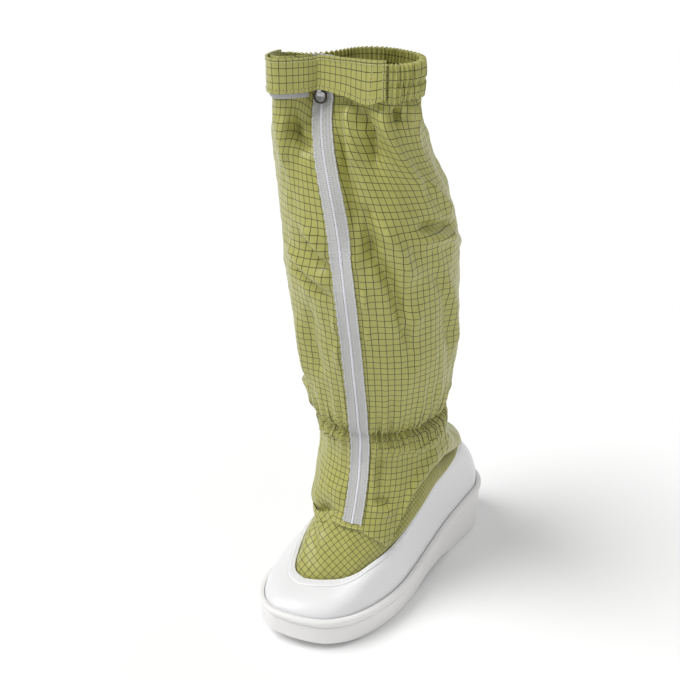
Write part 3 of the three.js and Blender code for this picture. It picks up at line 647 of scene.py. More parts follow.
def stripFaces(count, base, turned):
    # chords across a closed ring, one strip for each pair of stations
    faces = []
    for k in range(count // 2):
        four = [base + k, base + k + 1, base + (count - k - 1) % count, base + (count - k) % count]
        ring = list(dict.fromkeys(four))
        if turned:
            ring.reverse()
        faces.append(ring)
    return faces


def ringStack(name, rings, material):
    count = rings.shape[1]
    faces = gridFaces(len(rings), count, closed=True).tolist()
    faces += stripFaces(count, 0, True)
    faces += stripFaces(count, (len(rings) - 1) * count, False)
    return makePiece(name, rings, faces, material)


def soleProfile():
    # rows of (base, rise, out) from the tread's edge to the lip
    rows = [("tread", 0, -9.5), ("tread", 0, -6.5), ("tread", 0, -4.6)]
    corner = soleDetail["treadRound"]
    for a in np.radians(np.linspace(-80, 0, 6)):
        rows.append(("tread", corner + corner * math.sin(a), soleDetail["treadEdge"] + corner * math.cos(a)))
    for s in np.linspace(0.12, 1, soleDetail["sideSteps"]):
        rows.append(("side", s, -2 + 0.6 * s))
    groove = soleDetail["grooveDepth"]
    rows += [("bead", -7.9, -1.45), ("bead", -7.5, -1.75)]
    rows += [("bead", -7.0, -1.4 - groove), ("bead", -6.5, -1.3 - groove)]
    radius = soleDetail["beadRadius"]
    for a in np.radians(np.linspace(-68, 84, soleDetail["beadSteps"])):
        rows.append(("bead", -radius + radius * math.sin(a), -radius + radius * math.cos(a)))
    rows += [("bead", -0.05, -3.6), ("bead", -0.3, -4.3), ("bead", -1.2, -4.6)]
    return rows


def soleMesh():
    angles = stationAngles(soleDetail["stations"])
    rings = []
    for base, rise, out in soleProfile():
        p = planPoint(angles, out)
        tread, bead = treadHeight(p[:, 1]), beadHeight(p[:, 1])
        if base == "tread":
            p[:, 2] = tread + rise
        elif base == "bead":
            p[:, 2] = bead + rise
        else:
            low, high = tread + soleDetail["treadRound"], bead - soleDetail["sideTop"]
            p[:, 2] = low + (high - low) * rise
        rings.append(p)
    bed = planPoint(angles, -shoe["lipWidth"])
    bed[:, 2] = bedHeight(bed[:, 1]) + 0.1
    rings.append(bed)
    rings = np.array(rings)
    spot = math.radians(soleDetail["pimpleTurn"])
    mark = planPoint(np.array([spot]), 0.0)[0]
    mark[2] = beadHeight(mark[1]) - soleDetail["pimpleDrop"]
    near = np.exp(-np.sum((rings - mark) ** 2, -1) / soleDetail["pimpleSize"] ** 2)
    way = unit(mark - np.array([0, -100, 0]))
    rings += way[None, None] * (soleDetail["pimpleHeight"] * near)[..., None]
    return ringStack("sole_unit", rings, soleLook)


def treadCutters():
    angles = stationAngles(720)
    border = planPoint(angles, -soleDetail["treadBorder"])
    first = math.ceil((shoe["heelSetback"] - shoe["soleLength"]) / soleDetail["treadPitch"])
    last = math.floor(shoe["heelSetback"] / soleDetail["treadPitch"])
    steps = soleDetail["slotSteps"]
    half = soleDetail["treadSlot"] / 2
    points, faces = [], []
    for k in range(first, last):
        middle = (k + 0.5) * soleDetail["treadPitch"]
        if soleDetail["archFrom"] < soleShare(middle) < soleDetail["archTo"]:
            continue
        near = border[np.abs(border[:, 1] - middle) < 2.5]
        if len(near) < 4:
            continue
        inset = soleDetail["slotInset"]
        x = np.linspace(near[:, 0].min() + inset, near[:, 0].max() - inset, steps)
        turns = 2 * math.pi * soleDetail["waves"] * x / soleDetail["waveSpan"]
        wave = soleDetail["treadWave"] / 2 * np.sin(turns)
        top = treadHeight(np.array(middle)) + soleDetail["treadDepth"]
        base = len(points)
        below, narrow = soleDetail["slotBelow"], half * soleDetail["slotFlare"]
        for dy, z in ((-half, below), (half, below), (narrow, top), (-narrow, top)):
            points += np.stack([x, middle + wave + dy, np.full(steps, z)], 1).tolist()
        for s in range(steps - 1):
            for side in range(4):
                a, b = side * steps + s, ((side + 1) % 4) * steps + s
                faces.append([base + a, base + b, base + b + 1, base + a + 1])
        faces.append([base + side * steps for side in (3, 2, 1, 0)])
        faces.append([base + side * steps + steps - 1 for side in (0, 1, 2, 3)])
    return makePiece("tread_cutters", np.array(points), faces, soleLook, soft=False)


def makeSole():
    sole = soleMesh()
    cutters = treadCutters()
    cut = sole.modifiers.new("slots", "BOOLEAN")
    cut.operation = "DIFFERENCE"
    cut.solver = "MANIFOLD"
    cut.object = cutters
    settle(sole)
    bpy.data.objects.remove(cutters)
    sole.data.set_sharp_from_angle(angle=math.radians(soleDetail["sharpFrom"]))
    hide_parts("sole")
    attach(sole, "boot")
    print("sole made,", len(sole.data.polygons), "faces")


# Insole: its edge as rise and inset, then the dished top
insoleDetail = {
    "stations": 240, "edge": ((0.3, -0.6), (0.9, 0), (2.6, 0), (3.1, -0.5), (3.3, -1.6)),
    "topInsets": (6.0, 14.0), "top": 3.3, "dish": 0.08,
}


def makeInsole():
    angles = stationAngles(insoleDetail["stations"])
    out = -(shoe["lipWidth"] + shoe["upperWall"] + 2 * shoe["gap"])
    rings = []
    for rise, inset in insoleDetail["edge"]:
        p = planPoint(angles, out + inset)
        p[:, 2] = bedHeight(p[:, 1]) + rise
        rings.append(p)
    for inset in insoleDetail["topInsets"]:
        p = planPoint(angles, out - inset)
        p[:, 2] = bedHeight(p[:, 1]) + insoleDetail["top"] - insoleDetail["dish"] * inset
        rings.append(p)
    insole = ringStack("insole_sheet", np.array(rings), insoleLook)
    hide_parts("insole")
    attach(insole, "boot")


# Upper
upperDetail = {
    "stations": 400, "rows": 44, "rimWidth": 5.0, "rimRaise": 0.8, "edgeSteps": 7,
    "pucker": 0.22, "puckers": 74, "finePuckers": 121, "innerRows": 10, "sharpFrom": 50,
}


def upperMesh():
    angles = stationAngles(upperDetail["stations"])
    wall, rim = shoe["upperWall"], upperDetail["rimRaise"]
    rimStart = 1 - upperDetail["rimWidth"] / shoe["toeCapLength"]
    levels = [(t, 0.0) for t in np.linspace(0, rimStart - 0.012, upperDetail["rows"])]
    levels += [(rimStart - 0.004, -0.3), (rimStart, 0.35 * rim), (rimStart + 0.008, 0.85 * rim),
               (rimStart + 0.02, rim)]
    levels += [(t, rim * 1.02) for t in np.linspace(rimStart + 0.045, 0.985, 5)]
    foot = planPoint(angles, -(shoe["lipWidth"] + shoe["gap"]))
    foot[:, 2] = bedHeight(foot[:, 1]) + shoe["gap"]
    flat = upperNormal(angles, 0.0)
    flat[:, 2] = 0
    flat = unit(flat)
    outer = [foot]
    ripple = np.sin(angles * upperDetail["puckers"])
    ripple += 0.6 * np.sin(angles * upperDetail["finePuckers"] + 1.0)
    for t, lift in levels:
        share = np.clip((t - rimStart) / (1 - rimStart), 0, 1)
        wave = upperDetail["pucker"] * ripple * share
        outer.append(upperPoint(angles, t) + upperNormal(angles, t) * (lift + wave)[:, None])
    edge = []
    half = (wall + rim) / 2
    for a in np.linspace(80, -80, upperDetail["edgeSteps"]):
        r = math.radians(a)
        out = half * math.sin(r) + (rim - wall) / 2 + 0.4 * upperDetail["pucker"] * ripple
        along = 0.9 * math.cos(r) - 0.6
        edge.append(upperPoint(angles, 1.0) + upperNormal(angles, 1.0) * out[:, None]
                    + upperRise(angles, 1.0) * along)
    inner = [upperPoint(angles, t) - upperNormal(angles, t) * wall
             for t in np.linspace(0.97, 0.0, upperDetail["innerRows"])]
    inner.append(foot - flat * wall)
    rows = np.array(outer + edge + inner)
    count = upperDetail["stations"]
    faces = gridFaces(len(rows), count, closed=True).tolist() + closingFaces(len(rows), count)
    return makePiece("white_upper", rows, faces, upperLook)


def makeUpper():
    upper = upperMesh()
    upper.data.set_sharp_from_angle(angle=math.radians(upperDetail["sharpFrom"]))
    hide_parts("upper")
    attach(upper, "boot")
    print("upper made,", len(upper.data.polygons), "faces")


makeSole()
makeInsole()
makeUpper()


# Repeats along a line: stitches and coil turns
def repeatTree():
    tree = bpy.data.node_groups.new("repeatAlong", "GeometryNodeTree")
    inputs = {"Line": "Geometry", "Spacing": "Float", "Size": "Vector", "Vary": "Float", "Seed": "Int",
              "Finish": "Material"}
    for label, kind in inputs.items():
        tree.interface.new_socket(name=label, in_out="INPUT", socket_type="NodeSocket" + kind)
    tree.interface.new_socket(name="Pieces", in_out="OUTPUT", socket_type="NodeSocketGeometry")
    given = tree.nodes.new("NodeGroupInput").outputs
    out = tree.nodes.new("NodeGroupOutput").inputs
    line = add(tree, "GeometryNodeMeshToCurve", Mesh=given["Line"])
    spots = add(tree, "GeometryNodeCurveToPoints", {"mode": "LENGTH"}, Curve=line.outputs[0],
                Length=given["Spacing"])
    across = add(tree, "GeometryNodeInputNamedAttribute", {"data_type": "FLOAT_VECTOR"}, Name="across")
    turned = add(tree, "FunctionNodeAlignRotationToVector", {"axis": "Z"}, Vector=spots.outputs["Tangent"])
    rolled = add(tree, "FunctionNodeAlignRotationToVector", {"axis": "X", "pivot_axis": "Z"},
                 Rotation=turned.outputs[0], Vector=across.outputs[0])
    bead = add(tree, "GeometryNodeMeshUVSphere", Segments=8, Rings=6, Radius=1.0)
    shaped = add(tree, "GeometryNodeTransform", Geometry=bead.outputs[0], Scale=given["Size"])
    low = math2(tree, "SUBTRACT", 1.0, given["Vary"])
    high = math2(tree, "ADD", 1.0, given["Vary"])
    vary = tree.nodes.new("FunctionNodeRandomValue")
    vary.data_type = "FLOAT"
    tree.links.new(low, vary.inputs[2])
    tree.links.new(high, vary.inputs[3])
    tree.links.new(given["Seed"], vary.inputs["Seed"])
    placed = add(tree, "GeometryNodeInstanceOnPoints", Points=spots.outputs["Points"],
                 Instance=shaped.outputs[0], Rotation=rolled.outputs[0], Scale=vary.outputs[1])
    real = add(tree, "GeometryNodeRealizeInstances", Geometry=placed.outputs[0])
    soft = add(tree, "GeometryNodeSetShadeSmooth", Geometry=real.outputs[0])
    finished = add(tree, "GeometryNodeSetMaterial", Geometry=soft.outputs[0], Material=given["Finish"])
    tree.links.new(finished.outputs[0], out["Pieces"])
    return tree


repeatAlong = repeatTree()


def repeatPieces(name, lines, spacing, size, material, vary=0.08, seed=3):
    # lines: pairs of points and directions across, in millimetres
    mesh = bpy.data.meshes.new(name)
    points, ways, edges = [], [], []
    for line, across in lines:
        base = len(points)
        points += (np.asarray(line) * millimetre).tolist()
        ways += np.broadcast_to(across, np.shape(line)).tolist()
        edges += [(base + k, base + k + 1) for k in range(len(line) - 1)]
    mesh.from_pydata(points, edges, [])
    layer = mesh.attributes.new("across", "FLOAT_VECTOR", "POINT")
    layer.data.foreach_set("vector", np.array(ways, np.float32).ravel())
    piece = bpy.data.objects.new(name, mesh)
    bpy.context.scene.collection.objects.link(piece)
    nodes = piece.modifiers.new("repeat", "NODES")
    nodes.node_group = repeatAlong
    sockets = {s.name: s.identifier for s in repeatAlong.interface.items_tree if s.in_out == "INPUT"}
    values = {"Spacing": spacing * millimetre, "Size": [v * millimetre for v in size], "Vary": vary,
              "Seed": seed, "Finish": material}
    for label, value in values.items():
        nodes[sockets[label]] = value
    settle(piece)
    return piece


# Cloth of the leg: turns from the zip in degrees, lengths in millimetres, elastic as a rise
clothAround = 390
leg = {
    "columns": 250, "vampRows": 32, "ringRows": 142, "wall": 0.7, "perDegree": clothAround / 360,
    "shownFrom": 0.72, "shownTo": 0.36, "dense": 1.3, "sparse": 0.65, "zipRow": 3, "fold": 2.2,
    "elastic": 0.361, "tight": 3.0, "tightReach": 3.2, "lap": 0.9, "lapReach": 12.0,
    "overhang": 3.6, "overhangAt": 6, "overhangReach": 10.0, "overhangTurns": (36, 14, 170, 40),
    "ruffle": 2.1, "rufflePitch": 5.4, "ruffleReach": 12.0,
    "pleat": 0.9, "pleatPitch": 12.5, "pleatRise": 6, "pleatReach": 34.0,
    "gather": 1.0, "gatherPitch": 7.0, "gatherFrom": 378, "gatherOver": 24,
    "gatherOuter": 60, "gatherInner": -96, "gatherFade": 14,
    "casedAbove": 412.0, "casedFrom": 71, "casedTo": 253,
    "calmZip": 0.8, "calmZipTurn": 8.0, "calmFrontTurn": 22.0, "calmFrontFrom": 376, "calmFrontOver": 18,
    "calmBandFrom": 400, "calmBandOver": 8,
    "crumple": 0.55, "crumpleSize": 17.0, "wrinkle": 0.16, "wrinkleSize": 5.5, "seed": 11.0,
}
# the rolled lower edge: how far in, how far up, and how much more where it overhangs
legHem = ((1.2, 0.6, 3.4), (0.9, -0.1, 2.0), (0.45, -0.35, 0.7))
# Where the leg is joined to the vamp panel or hangs over it: turn, level
seamLine = [
    (-180, 0.0), (-140, 0.02), (-100, 0.14), (-60, 0.36), (-24, 0.513), (-14, 0.513), (-5, 0.475),
    (6.5, 0.425), (15.5, 0.325), (24.5, 0.2), (33.0, 0.06), (39, 0.24), (45, 0.44), (50, 0.57),
    (58.5, 0.67), (68.5, 0.75), (83.5, 0.75), (97, 0.65), (125, 0.3), (150, 0.06), (180, 0.0),
]
# Ridges and troughs, listed one by one: depth, half width, then places along
legFolds = [
    (3.6, 7.5, (29.5, 404), (30, 387), (22.5, 363)),
    (3.2, 6.5, (61, 407), (63.5, 394), (65.5, 381), (66.5, 364), (66.5, 340)),
    (2.4, 6.0, (80, 413), (89.5, 404), (93, 390)),
    (1.8, 5.5, (76.5, 355), (85, 341), (92, 324)),
    (2.2, 9.0, (-48, 395), (-45.5, 376), (-40, 358)),
    (2.2, 5.5, (-26.5, 324), (-8, 300)),
    (2.0, 5.5, (-50, 301), (-41, 297), (-8, 281)),
    (3.0, 6.0, (26, 332), (36.5, 312), (41.5, 294), (37.5, 286)),
    (1.8, 8.0, (33, 266), (40.5, 227), (43.5, 205)),
    (1.3, 7.0, (33, 258), (50, 258)),
    (1.5, 6.0, (13, 160), (13.5, 125), (15.5, 98)),
    (0.8, 7.0, (-37, 103), (-11.5, 103)),
    (1.5, 3.0, (8, 309), (10, 295)), (1.3, 2.8, (12.5, 286), (11, 264)), (1.2, 2.8, (11.5, 252), (11, 240)),
    (1.3, 3.0, (-9, 259), (-9.5, 246)), (1.2, 3.0, (-9.5, 237), (-12, 216)),
    (1.6, 3.2, (14, 145), (33.5, 143), (50.5, 140), (65.5, 140), (83.5, 139)),
    (-4.2, 5.5, (17, 391), (17, 374), (14, 360), (12, 342), (9, 319)),
    (-2.9, 6.0, (23, 345), (18.5, 326), (17, 305)),
    (-3.6, 5.5, (39.5, 403), (47.5, 388), (40, 365)),
    (-2.9, 4.5, (74, 405), (76, 394)),
    (-3.1, 6.0, (-37, 386), (-22.5, 388), (-11.5, 388)),
    (-2.9, 5.0, (-40.5, 386), (-23.5, 377), (-11.5, 374)),
    (-3.6, 5.0, (21.5, 334), (19.5, 309), (26.5, 294), (30.5, 283), (33.5, 267), (40.5, 221)),
    (-2.3, 4.5, (-30, 315), (-9, 291)), (-2.3, 4.5, (-48, 291), (-12, 273)),
    (-2.1, 5.0, (16, 138), (19, 105)), (-4.6, 6.5, (-90, 64), (-70, 68), (-50, 76), (-33, 84), (-16, 88)),
    (-2.6, 3.6, (50, 325), (64, 323), (91.5, 318)), (1.6, 3.6, (50, 316), (64, 314), (91.5, 309)),
    (-2.0, 3.0, (14, 103), (32, 97)), (1.3, 3.0, (14, 97), (32, 90)),
    (1.2, 1.9, (-57.5, 141), (-34, 146), (-10.5, 149)),
    (-1.8, 6.0, (58, 300), (72, 262), (80, 214)), (1.4, 8.0, (66, 290), (84, 250), (96, 205)),
    (-2.0, 7.0, (-30, 262), (-34, 232), (-28, 198)), (1.4, 8.0, (-46, 250), (-50, 214), (-44, 186)),
    (1.8, 7.0, (118, 392), (126, 360), (120, 325)), (-2.3, 6.0, (138, 396), (142, 366), (150, 340)),
    (1.8, 8.0, (168, 385), (176, 350), (170, 318)), (-2.3, 6.0, (-160, 392), (-168, 355), (-160, 325)),
    (2.0, 7.0, (-132, 396), (-128, 366), (-136, 330)), (-2.6, 7.0, (-104, 385), (-110, 350), (-98, 320)),
    (1.8, 7.0, (-84, 392), (-80, 360), (-88, 325)), (1.8, 6.0, (108, 296), (136, 288), (160, 300)),
    (-2.1, 6.0, (112, 282), (142, 272), (170, 284)), (1.6, 6.0, (-70, 282), (-100, 268), (-130, 276)),
    (-2.0, 6.0, (-76, 266), (-104, 254), (-134, 262)), (1.8, 5.0, (100, 176), (132, 168), (170, 176)),
    (-2.3, 4.0, (96, 132), (132, 128), (172, 140)), (1.8, 5.0, (-60, 178), (-104, 168), (-150, 176)),
    (-2.1, 4.0, (-70, 138), (-110, 134), (-150, 142)), (1.5, 7.0, (122, 240), (130, 206), (124, 184)),
    (1.5, 7.0, (-112, 236), (-118, 206), (-110, 184)), (-1.8, 6.0, (156, 250), (160, 214), (152, 190)),
]


rimDip = {"sag": 6.5, "at": 232.0, "reach": 34.0, "back": 1.8, "front": 1.6, "backTurns": (80, 30, 300, 30)}


def wrapTurn(turn):
    return np.mod(np.asarray(turn, float) + 180, 360) - 180


def foldLift(folds, turn, height):
    across = wrapTurn(turn) * leg["perDegree"]
    total = np.zeros(np.shape(across))
    for depth, width, *places in folds:
        line = np.array(places, float) * (leg["perDegree"], 1)
        steps = np.linalg.norm(np.diff(line, axis=0), axis=1)
        starts = np.concatenate([[0], np.cumsum(steps)])
        nearest = np.full(across.shape, 1e9)
        share = np.zeros(across.shape)
        for k, step in enumerate(steps):
            way = (line[k + 1] - line[k]) / step
            t = np.clip((across - line[k, 0]) * way[0] + (height - line[k, 1]) * way[1], 0, step)
            away = np.hypot(across - line[k, 0] - t * way[0], height - line[k, 1] - t * way[1])
            closer = away < nearest
            nearest = np.where(closer, away, nearest)
            share = np.where(closer, (starts[k] + t) / starts[-1], share)
        ends = 0.3 + 0.7 * smooth(np.minimum(share, 1 - share) / 0.25)
        total += depth * ends * np.exp(-(nearest / width) ** 1.8)
    return total


def dapple(x, y, size, seed):
    # smooth uneven waves, the same each time
    x, y = np.broadcast_arrays(x, y)
    total = np.zeros(x.shape)
    for k in range(7):
        way = seed + 2.399 * k
        pace = 2 * math.pi / (size * (0.75 + 0.17 * k))
        bend = 1.7 * np.sin((x * math.cos(way + 1.3) - y * math.sin(way + 1.3)) * pace * 0.43 + way)
        total += np.sin((x * math.cos(way) + y * math.sin(way)) * pace + bend + 3.1 * k)
    return total / 3.5


def rimSag(turn):
    # how far the slack rim hangs below its level at the inner back
    turn = np.mod(turn, 360)
    sag = rimDip["sag"] * np.exp(-((turn - rimDip["at"]) / rimDip["reach"]) ** 2)
    back = plateau(turn, *rimDip["backTurns"])
    return sag + rimDip["back"] * back + rimDip["front"] * (1 - back)


def gatherWave(turn):
    a = wrapTurn(turn) * leg["perDegree"]
    drift = 2.2 * np.sin(a / 23.0 + 1.0) + 1.3 * np.sin(a / 9.7)
    return np.cos(2 * math.pi * (a + drift) / leg["gatherPitch"])


def legLift(turn, height):
    turn = wrapTurn(turn)
    a = turn * leg["perDegree"]
    lift = leg["fold"] * foldLift(legFolds, turn, height)
    lift += leg["crumple"] * dapple(a, 0.55 * height, leg["crumpleSize"], leg["seed"])
    lift += leg["wrinkle"] * dapple(a, 0.8 * height, leg["wrinkleSize"], leg["seed"] + 5)
    ankle = legSize["height"] * leg["elastic"]
    drift = 1.6 * np.sin(a / 13.0) + 1.1 * np.sin(a / 5.9 + 2)
    waves = np.cos(2 * math.pi * (a + drift) / leg["rufflePitch"])
    lift += leg["ruffle"] * waves * np.exp(-np.abs((height - ankle) / leg["ruffleReach"]) ** 1.8)
    pleats = np.cos(2 * math.pi * (a + 2 * drift) / leg["pleatPitch"])
    lift += leg["pleat"] * pleats * np.exp(-((height - ankle - leg["pleatRise"]) / leg["pleatReach"]) ** 2)
    lift -= leg["tight"] * np.exp(-((height - ankle) / leg["tightReach"]) ** 2)
    # calmer beside the zip and under the strap and the cuff
    calm = 1 - leg["calmZip"] * np.exp(-(turn / leg["calmZipTurn"]) ** 2)
    top = smooth((height - leg["calmFrontFrom"]) / leg["calmFrontOver"])
    calm *= 1 - np.exp(-(turn / leg["calmFrontTurn"]) ** 2) * top
    calm *= 1 - smooth((height - leg["calmBandFrom"]) / leg["calmBandOver"])
    fade = leg["gatherFade"]
    back = smooth((turn - leg["gatherOuter"]) / fade) + smooth((leg["gatherInner"] - turn) / fade)
    climb = smooth((height - leg["gatherFrom"]) / leg["gatherOver"])
    return lift * calm + leg["gather"] * gatherWave(turn) * np.clip(back, 0, 1) * climb


def seamLevel(turn):
    table = np.array(seamLine)
    return np.clip(curveAt(table[:, 0], table[:, 1], wrapTurn(turn)), 0, 1)


def tubePoint(row, turn):
    kind, at = row
    if kind == "ring":
        return ringPoint(at, turn)
    seam = seamLevel(turn)
    return vampPoint(turn, seam + (1 - seam) * at)


def columnShares():
    # closer together where the front and the outer side show
    at = np.linspace(0, 1, 2000)
    shown = (at < leg["shownTo"]) | (at > leg["shownFrom"])
    density = np.where(shown, leg["dense"], leg["sparse"])
    total = np.concatenate([[0], np.cumsum((density[1:] + density[:-1]) / 2)])
    return np.interp(np.linspace(0, total[-1], leg["columns"]), total, at)


def makeTube():
    rows = [("vamp", s) for s in np.linspace(0, 1, leg["vampRows"], endpoint=False)]
    low, high = legRings[0][0], 1.0
    rises = np.unique(np.concatenate([np.linspace(low, high, leg["ringRows"]), [leg["elastic"]]]))
    rows += [("ring", r) for r in rises]
    shares = columnShares()
    turns = []
    for row in rows:
        near = tubePoint(row, np.array([2.0, -2.0]))
        arc = np.linalg.norm(near[0] - near[1]) / 4
        slit, tape = legSize["slitHalf"] / arc, legSize["tapeHalf"] / arc
        turns.append(np.concatenate([[0, slit], tape + (360 - 2 * tape) * shares, [360 - slit]]))
    turns = np.array(turns)
    base = np.array([tubePoint(row, turns[i]) for i, row in enumerate(rows)])
    normals = gridNormals(base, True)
    lift = legLift(turns, base[..., 2])
    # the lower edge laps over the vamp panel and rolls under at the outer side
    away = np.cumsum(np.linalg.norm(np.diff(base, axis=0, prepend=base[:1]), axis=2), axis=0)
    lift += leg["lap"] * np.exp(-(away / leg["lapReach"]) ** 2)
    over = plateau(turns, *leg["overhangTurns"])
    lift += leg["overhang"] * over * np.exp(-((away - leg["overhangAt"]) / leg["overhangReach"]) ** 2)
    grid = base + normals * lift[..., None]
    band = smooth((base[..., 2] - strap["low"]) / (strap["high"] - strap["low"]) / 0.6)
    grid -= up * (rimSag(turns) * band)[..., None]
    edge = []
    for inward, rise, roll in legHem:
        hang = over[0][:, None]
        edge.append(grid[0] - normals[0] * (inward + roll * hang)
                    + up * (rise * (1 + 4 * hang * (inward > 1))))
    grid = np.concatenate([edge, grid])
    hemRows = len(legHem)
    normals, turns, flat = (np.concatenate([g[:1]] * hemRows + [g]) for g in (normals, turns, base))
    along = np.cumsum(np.linalg.norm(np.diff(flat, axis=0, prepend=flat[:1]), axis=2), axis=0)
    ringAt = hemRows + leg["vampRows"] + int(np.argmin(np.abs(rises - leg["elastic"])))
    along -= along[ringAt]
    uvs = np.stack([turns * leg["perDegree"], along], -1)
    count = turns.shape[1]
    zipRow = hemRows + leg["zipRow"]
    signed = np.mod(turns, 360)
    cased = (flat[..., 2] > leg["casedAbove"]) & (signed > leg["casedFrom"]) & (signed < leg["casedTo"])

    def keep(i, j):
        slit = ((j == 0) | (j == count - 1)) & (i >= zipRow)
        return ~(slit | cased[i, j])

    faces = gridFaces(len(grid), count, closed=True, keep=keep)
    corners = uvs.reshape(-1, 2)[faces.ravel()]
    # the last column closes on the first at a full turn, not at none
    wrapped = (faces.ravel() % count == 0) & (np.repeat(faces[:, 0] % count, 4) == count - 1)
    corners[wrapped, 0] += clothAround
    tube = makePiece("cloth_leg", grid, faces, clothLook, corners)
    dropLoose(tube)
    thicken(tube, leg["wall"])
    print("leg made,", len(tube.data.polygons), "faces")
    return tube, grid[zipRow:], normals[zipRow:], (grid, normals, turns)


# Vamp panel: the same cloth on the bias, from inside the upper to the seam
vamp = {
    "columns": 240, "rows": 44, "under": 0.07, "wall": 0.7, "drop": 1.3, "bias": 45.0, "ease": 1.22,
    "recess": 12.0, "recessTurns": (34, 12, 152, 40), "crumple": 0.35, "crumpleSize": 12.0, "seed": 4.0,
    "frontColumns": 10,
}
# where its edge is tucked: level on the upper, rise, out
vampTuck = ((0.78, 0, -3.0), (0.9, 0, -3.0), (1.0, 0.0, -2.9), (1.0, 1.2, -1.6))
vampFolds = [
    (-4.5, 8.0, (-90, 60), (-50, 72), (-24, 80)),
    (1.6, 4.0, (-22, 84), (-6, 72), (4, 60)), (-1.5, 3.5, (-14, 82), (-2, 66)),
    (1.2, 4.0, (12, 66), (24, 58)), (-1.2, 3.5, (2, 76), (16, 64), (26, 54)),
    (1.5, 4.0, (-40, 84), (-28, 70), (-14, 56)), (-1.4, 4.0, (-50, 88), (-34, 66), (-20, 54)),
]


def unwrapCloth(piece, seamColumn, count):
    # opens the ring at the back and lays it flat at its real size
    mesh = piece.data
    for e in mesh.edges:
        e.use_seam = e.vertices[0] % count == seamColumn and e.vertices[1] % count == seamColumn
    mesh.uv_layers.new(name="cloth")
    bpy.context.view_layer.objects.active = piece
    piece.select_set(True)
    bpy.ops.object.mode_set(mode="EDIT")
    bpy.ops.mesh.select_all(action="SELECT")
    bpy.ops.uv.unwrap(method="CONFORMAL", margin=0)
    bpy.ops.object.mode_set(mode="OBJECT")
    piece.select_set(False)
    layer = mesh.uv_layers["cloth"]
    uv = np.empty(len(mesh.loops) * 2)
    layer.data.foreach_get("uv", uv)
    uv = uv.reshape(-1, 4, 2)
    corner = cornerPoints(mesh).reshape(-1, 4)
    where = np.empty(len(mesh.vertices) * 3)
    mesh.vertices.foreach_get("co", where)
    where = where.reshape(-1, 3) * 1000
    front = (corner[:, 0] % count < vamp["frontColumns"]) & (corner[:, 0] // count >= len(vampTuck))
    real = np.linalg.norm(where[corner[front, 3]] - where[corner[front, 0]], axis=1).sum()
    drawn = uv[front, 3] - uv[front, 0]
    scale = vamp["ease"] * real / np.linalg.norm(drawn, axis=1).sum()
    way = drawn.sum(0)
    turn = math.radians(90 + vamp["bias"]) - math.atan2(way[1], way[0])
    c, s = math.cos(turn) * scale, math.sin(turn) * scale
    uv = uv.reshape(-1, 2) @ np.array([[c, s], [-s, c]])
    layer.data.foreach_set("uv", uv.astype(np.float32).ravel())


def makeVamp():
    turns = np.arange(vamp["columns"]) * 360 / vamp["columns"]
    signed = wrapTurn(turns)
    level = np.minimum(seamLevel(turns) + vamp["under"], 0.95)
    shares = np.linspace(0, 1, vamp["rows"])
    body = np.array([vampPoint(turns, level * s) for s in shares])
    normals = gridNormals(body, True)
    recess = plateau(signed, *vamp["recessTurns"])
    height = body[..., 2]
    lift = foldLift(vampFolds, np.broadcast_to(turns, height.shape), height)
    across = turns * leg["perDegree"]
    lift += vamp["crumple"] * dapple(across, 0.7 * height, vamp["crumpleSize"], vamp["seed"])
    lift -= smooth(shares * 1.5)[:, None] * (vamp["drop"] + vamp["recess"] * recess)[None]
    lift *= smooth(shares * 6)[:, None]
    body = body + normals * lift[..., None]
    tuck = [tuckPoint(turns, *place) for place in vampTuck]
    grid = np.concatenate([tuck, body])
    faces = gridFaces(len(grid), vamp["columns"], closed=True)
    panel = makePiece("vamp_panel", grid, faces, clothLook)
    unwrapCloth(panel, vamp["columns"] // 2, vamp["columns"])
    thicken(panel, vamp["wall"])
    print("vamp panel made")
    return panel


def shellPiece(name, outer, inner, material, uvs=None):
    # closed wall between two open grids of one size
    rows, columns = outer.shape[:2]
    count = rows * columns
    face = gridFaces(rows, columns)
    faces = face.tolist() + (face[:, ::-1] + count).tolist()
    ring = list(range(columns)) + [i * columns + columns - 1 for i in range(1, rows)]
    ring += [(rows - 1) * columns + j for j in range(columns - 2, -1, -1)]
    ring += [i * columns for i in range(rows - 2, 0, -1)]
    for a, b in zip(ring, ring[1:] + ring[:1]):
        faces.append([b, a, a + count, b + count])
    corners = None if uvs is None else np.concatenate([uvs.reshape(-1, 2)] * 2)
    points = np.concatenate([outer.reshape(-1, 3), inner.reshape(-1, 3)])
    piece = makePiece(name, points, faces, material, corners)
    piece.data.set_sharp_from_angle(angle=math.radians(60))
    return piece


# Zip: tapes, coil and pull
zipDetail = {
    "tapeLift": 0.35, "tapeThickness": 0.8, "tapeColumns": 7, "tapeInside": -0.24, "tapeWidth": 5.1,
    "pucker": 1.1, "puckerPitch": 7.5, "stitchAt": 0.86, "stitchSpacing": 2.6, "stitch": (0.24, 0.2, 0.95),
    "coilLift": 0.3, "coilHeight": 1.5, "coilHalf": 1.15, "coilCrown": 0.62, "coilColumns": 9,
    "coilAround": 3.8, "pitch": 1.45, "tooth": (1.15, 0.75, 0.52),
}
# The ring hangs from this place on the slider's loop, as in the part's source
pull = {"place": (-20.823, -139.04, 408.5), "across": (0.9365, 0.3507, 0), "out": (0.3507, -0.9365, 0),
        "radius": 4.2, "wire": 0.65, "around": 64, "section": 14}


